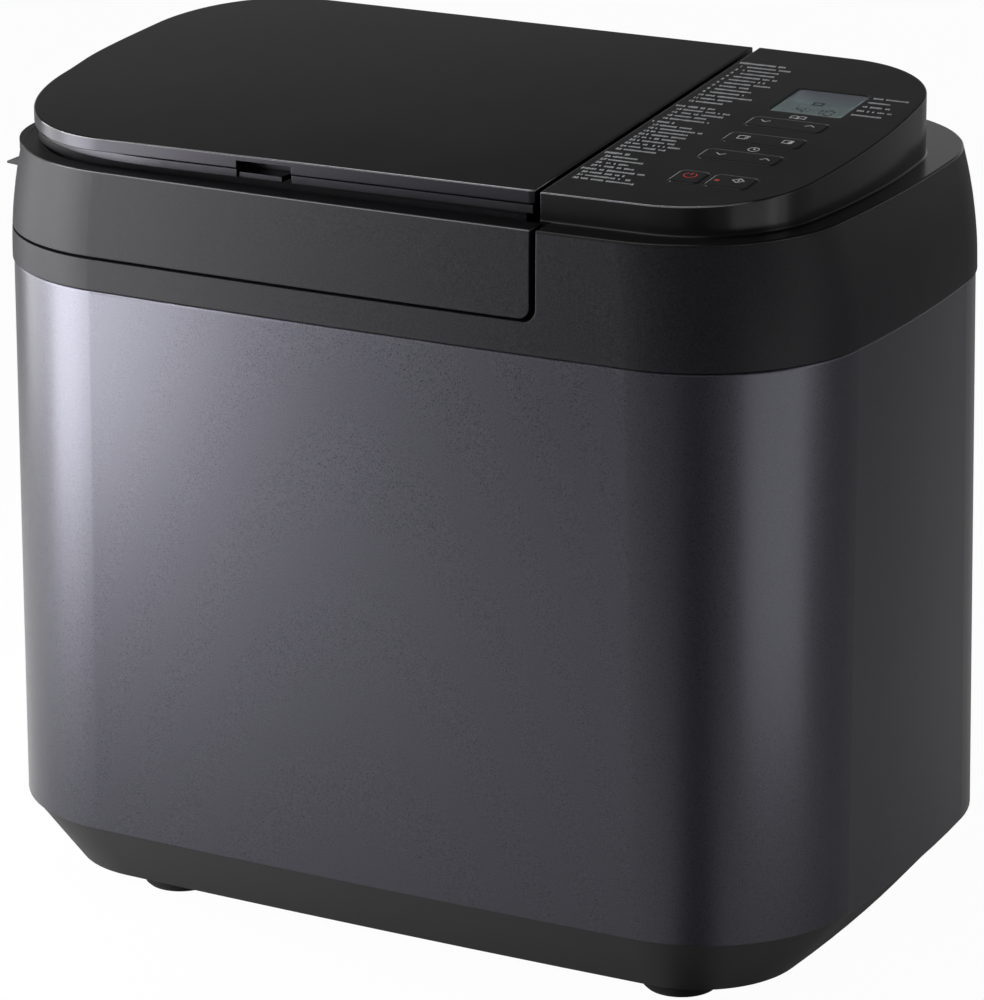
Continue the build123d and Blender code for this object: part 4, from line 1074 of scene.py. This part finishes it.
def digitLines(left, low, lit, look):
    wide, tall, gap = look["width"], look["height"], look["line"] * look["endGap"]
    right, high, middle = left + wide, low + tall, low + tall / 2
    runs = {
        "a": ((left + gap, high), (right - gap, high)),
        "b": ((right, high - gap), (right, middle + gap)),
        "c": ((right, middle - gap), (right, low + gap)),
        "d": ((left + gap, low), (right - gap, low)),
        "e": ((left, low + gap), (left, middle - gap)),
        "f": ((left, middle + gap), (left, high - gap)),
        "g": ((left + gap, middle), (right - gap, middle)),
    }
    return [runs[key] for key in lit]


def printScreen(look):
    cell = nodes["display_module"].data
    depth = max((corner.co - panelPoint).dot(panelUp) for corner in cell.vertices)
    strokes = []
    shapes = []
    left = look["left"]
    for sign in look["digits"]:
        if sign == ":":
            right = left + look["dotWidth"]
            for level in look["dotLevels"]:
                middle = look["low"] + level * look["height"]
                low, high = middle - look["dotHalf"], middle + look["dotHalf"]
                shapes.append(scaled([(left, low), (right, low), (right, high), (left, high)]))
            left += look["colonPitch"]
        else:
            lines = digitLines(left, look["low"], segmentsLit[sign], look)
            strokes += [(scaled(points), False) for points in lines]
            left += look["pitch"]
    iconX, iconY = look["iconAt"]
    wider, taller = look["iconScale"]
    loop = [(iconX + wider * x, iconY + taller * y) for x, y in loafFront]
    strokes.append((scaled(loop), True))
    place = panelMatrix(0.0, 0.0, depth + look["lift"] * mm)
    width, thick = look["line"] * mm, look["thick"] * mm
    mesh = markMesh("screenSegments", strokes, shapes, width, thick, place)
    addPiece("screenSegments", mesh, "segmentInk", "housing")


printScreen(segmentLook)
print("screen segments set")

# Countersunk screws that hold the rear panel and the sole
screwLook = {
    "radius": 3.2,
    "topShare": 0.8,
    "sides": 20,
    "proud": 0.5,
    "sunk": 0.6,
    "slotWidth": 0.9,
    "slotLength": 3.6,
    "slotDepth": 0.7,
    "turnLimit": 1.57,  # radians
}
rearScrews = [(-110, 46), (110, 46), (-110, 158), (110, 158), (-110, 268), (110, 268), (0, 268)]
soleScrews = [(-150, 0), (165, 0), (-60, -92), (76, -92), (-108, -48), (-108, 32), (152, -48), (152, 32)]


def makeScrewTree():
    # one cross-slotted head on every point, turned to the point's own angle
    tree, graph, wires, keys = growTree(
        "screwHeads",
        {
            "Points": "Geometry",
            "Radius": "Float",
            "Height": "Float",
            "Slot Width": "Float",
            "Slot Length": "Float",
            "Slot Depth": "Float",
            "Seed": "Int",
            "Finish": "Material",
        },
    )
    head = graph.node(
        "GeometryNodeMeshCone",
        {},
        {
            "Vertices": screwLook["sides"],
            "Radius Top": screwLook["topShare"] * wires["Radius"],
            "Radius Bottom": wires["Radius"],
            "Depth": wires["Height"],
        },
    )
    top = graph.node("ShaderNodeCombineXYZ", {}, {"Z": wires["Height"]})
    for one, two in (("Slot Length", "Slot Width"), ("Slot Width", "Slot Length")):
        spans = {"X": wires[one], "Y": wires[two], "Z": 2 * wires["Slot Depth"]}
        size = graph.node("ShaderNodeCombineXYZ", {}, spans)
        bar = graph.node("GeometryNodeMeshCube", {}, {"Size": size})
        cutter = graph.node("GeometryNodeTransform", {}, {"Geometry": bar, "Translation": top})
        head = graph.node("GeometryNodeMeshBoolean", {"operation": "DIFFERENCE"}, {0: head, 1: cutter})
    turn = graph.random(0.0, screwLook["turnLimit"], wires["Seed"])
    spin = graph.node("ShaderNodeCombineXYZ", {}, {"Z": turn})
    heads = graph.node(
        "GeometryNodeInstanceOnPoints", {}, {"Points": wires["Points"], "Instance": head, "Rotation": spin}
    )
    closeTree(graph, heads, wires["Finish"])
    return tree, keys


def facePoint(node, start, heading):  # where a straight line first meets a node
    mesh = nodes[node].data
    corners = [corner.co for corner in mesh.vertices]
    skin = BVHTree.FromPolygons(corners, [tuple(face.vertices) for face in mesh.polygons])
    return skin.ray_cast(Vector(start), Vector(heading))[0]


def setScrews(look):
    tree, keys = makeScrewTree()
    height = (look["proud"] + look["sunk"]) * mm
    towardsBack = Matrix.Rotation(math.radians(-90), 4, "X")
    towardsFloor = Matrix.Rotation(math.radians(180), 4, "X")
    sides = {  # node, line towards it, places on it and the turn from flat to its face
        "rearScrews": ("rear_panel", (0, -1, 0), rearScrews, towardsBack),
        "soleScrews": ("base_tray", (0, 0, 1), soleScrews, towardsFloor),
    }
    for name, (node, heading, places, turn) in sides.items():
        inwards = Vector(heading)
        spots = []
        for x, second in places:
            across = bodyMiddle + x * mm
            start = (across, 1.0, second * mm) if heading[1] else (across, second * mm, -1.0)
            seat = facePoint(node, start, heading) + look["sunk"] * mm * inwards
            spots.append(turn.inverted() @ seat)
        values = {
            "Radius": look["radius"] * mm,
            "Height": height,
            "Slot Width": look["slotWidth"] * mm,
            "Slot Length": look["slotLength"] * mm,
            "Slot Depth": look["slotDepth"] * mm,
            "Seed": len(spots),
            "Finish": finishes["pinSteel"],
        }
        mesh = bakeTree(name, tree, keys, values, spots)
        mesh.transform(turn)
        addPiece(name, mesh, "pinSteel", "housing")


setScrews(screwLook)
print("screws set:", len(rearScrews) + len(soleScrews))

# Camera at the photograph's viewing angle
cameraSetup = {
    "target": (2.75 * mm, 0.0, 169.6 * mm),
    "azimuth": 28.62,
    "elevation": 18.42,
    "roll": -0.545,
    "distance": 2.1457,
    "lens": 176.04,
    "sensor": 36.0,
    "shift": (-0.0017, 0.0008),
    "clipStart": 0.05,
}


def makeCamera(setup):
    azimuth, elevation = math.radians(setup["azimuth"]), math.radians(setup["elevation"])
    back = Vector(
        (
            math.sin(azimuth) * math.cos(elevation),
            -math.cos(azimuth) * math.cos(elevation),
            math.sin(elevation),
        )
    )
    right = Vector((math.cos(azimuth), math.sin(azimuth), 0))
    turn = Matrix((right, back.cross(right), back)).transposed().to_4x4()
    place = Matrix.Translation(Vector(setup["target"]) + back * setup["distance"])
    lens = bpy.data.cameras.new("photoCamera")
    lens.sensor_width = setup["sensor"]
    lens.lens = setup["lens"]
    lens.shift_x, lens.shift_y = setup["shift"]
    lens.clip_start = setup["clipStart"]
    camera = addObject("photoCamera", lens)
    camera.matrix_world = place @ turn @ Matrix.Rotation(math.radians(setup["roll"]), 4, "Z")
    bpy.context.scene.camera = camera


makeCamera(cameraSetup)
print("camera placed")

# Plain studio: white background, pale floor, soft lamps
studio = {
    "whiteBelow": 0.10,  # height of a direction where the white backdrop starts to fade
    "darkAbove": 0.40,
    "darkLevel": 0.04,
    "floorSize": 14.0,
    "floorColour": (0.55, 0.55, 0.55, 1),
    "floorSeen": 0.97,  # share of plain white that the eye sees on the floor
    "floorMirrored": 0.16,
    "wedgeFrom": (0.13, -0.055),  # a painted dark reflection: a wedge of floor, black to glossy rays only, that only the front right corner mirrors
    "wedgeTurn": 0.40,
    "wedgeHalf": 0.25,
    "wedgeDark": 0.85,
    "wedgeFade": 0.45,  # share of the half angle where it starts to fade
}


def makeWorld(setup):
    world = bpy.data.worlds.new("studioWorld")
    bpy.context.scene.world = world
    world.use_nodes = True
    graph = Graph(world.node_tree)
    coords = graph.node("ShaderNodeTexCoord", out=0)
    height = graph.axis(coords, 2)
    seen = graph.node("ShaderNodeLightPath", out=0)
    through = graph.node("ShaderNodeLightPath", out=6)
    wall = graph.ramp(height, (setup["whiteBelow"], 1.0), (setup["darkAbove"], setup["darkLevel"]))
    plain = seen + through  # the eye, and the eye through the lens
    shade = graph.node("ShaderNodeBackground", {}, {"Strength": plain + (1 - plain) * wall})
    graph.node("ShaderNodeOutputWorld", {}, {"Surface": shade})


def makeFloor(setup):
    half = setup["floorSize"] / 2
    mesh = bpy.data.meshes.new("studioFloor")
    corners = [(-half, -half, 0), (half, -half, 0), (half, half, 0), (-half, half, 0)]
    mesh.from_pydata(corners, [], [(0, 1, 2, 3)])
    made, graph, coords = newMaterial("floorWhite")
    made.cycles.emission_sampling = "NONE"
    seen = graph.node("ShaderNodeLightPath", out=0)
    glossy = graph.node("ShaderNodeLightPath", out=3)
    through = graph.node("ShaderNodeLightPath", out=6)
    matt = graph.node("ShaderNodeBsdfDiffuse", {}, {"Color": setup["floorColour"]})
    white = graph.node("ShaderNodeEmission", {}, {"Strength": 1.0})
    share = seen * setup["floorSeen"] + (glossy + through) * setup["floorMirrored"]
    lit = graph.node("ShaderNodeMixShader", {}, {0: share, 1: matt, 2: white})
    x, y = (graph.axis(coords, axis) for axis in (0, 1))
    fromX, fromY = setup["wedgeFrom"]
    turn = x.maths("ARCTAN2", x - fromX, fromY - y)
    off = turn.maths("ABSOLUTE", turn - setup["wedgeTurn"], 0.0)
    paintedReflectionWedge = graph.ramp(off / setup["wedgeHalf"], (setup["wedgeFade"], 1.0), (1.0, 0.0))
    black = graph.node("ShaderNodeBsdfDiffuse", {}, {"Color": (0, 0, 0, 1)})
    # painted dark reflection: glossy rays see black on this wedge of floor
    dark = paintedReflectionWedge * glossy * setup["wedgeDark"]
    surface = graph.node("ShaderNodeMixShader", {}, {0: dark, 1: lit, 2: black})
    graph.node("ShaderNodeOutputMaterial", {}, {"Surface": surface})
    mesh.materials.append(made)
    floor = addObject("studioFloor", mesh)


lamps = {  # place, aim, width, height, watts
    "leftSoftbox": ((-0.59, -0.49, 0.28), (-0.18, -0.12, 0.16), 0.44, 0.62, 13.0),
    "farLeftSoftbox": ((-0.86, -0.14, 0.34), (-0.2, 0.0, 0.16), 0.44, 0.70, 5.0),
    "overheadSoftbox": ((-0.45, -0.2, 2.2), (0.0, 0.0, 0.2), 1.4, 1.4, 12.0),
    "rightSoftbox": ((0.95, 0.02, 0.36), (0.18, -0.1, 0.16), 0.30, 0.62, 0.8),
    "cornerStrip": ((0.52, -0.19, 0.13), (0.185, -0.098, 0.13), 0.30, 0.26, 0.36),
}


def makeLamps(setup):
    for name, (place, aim, width, height, watts) in setup.items():
        light = bpy.data.lights.new(name, "AREA")
        light.shape = "RECTANGLE"
        light.size = width
        light.size_y = height
        light.energy = watts
        lamp = addObject(name, light)
        lamp.location = place
        lamp.visible_camera = False
        lamp.rotation_mode = "QUATERNION"
        lamp.rotation_quaternion = (Vector(aim) - Vector(place)).to_track_quat("-Z", "Y")


makeWorld(studio)
makeFloor(studio)
makeLamps(lamps)
bpy.context.scene.view_settings.view_transform = "Standard"
print("studio set")
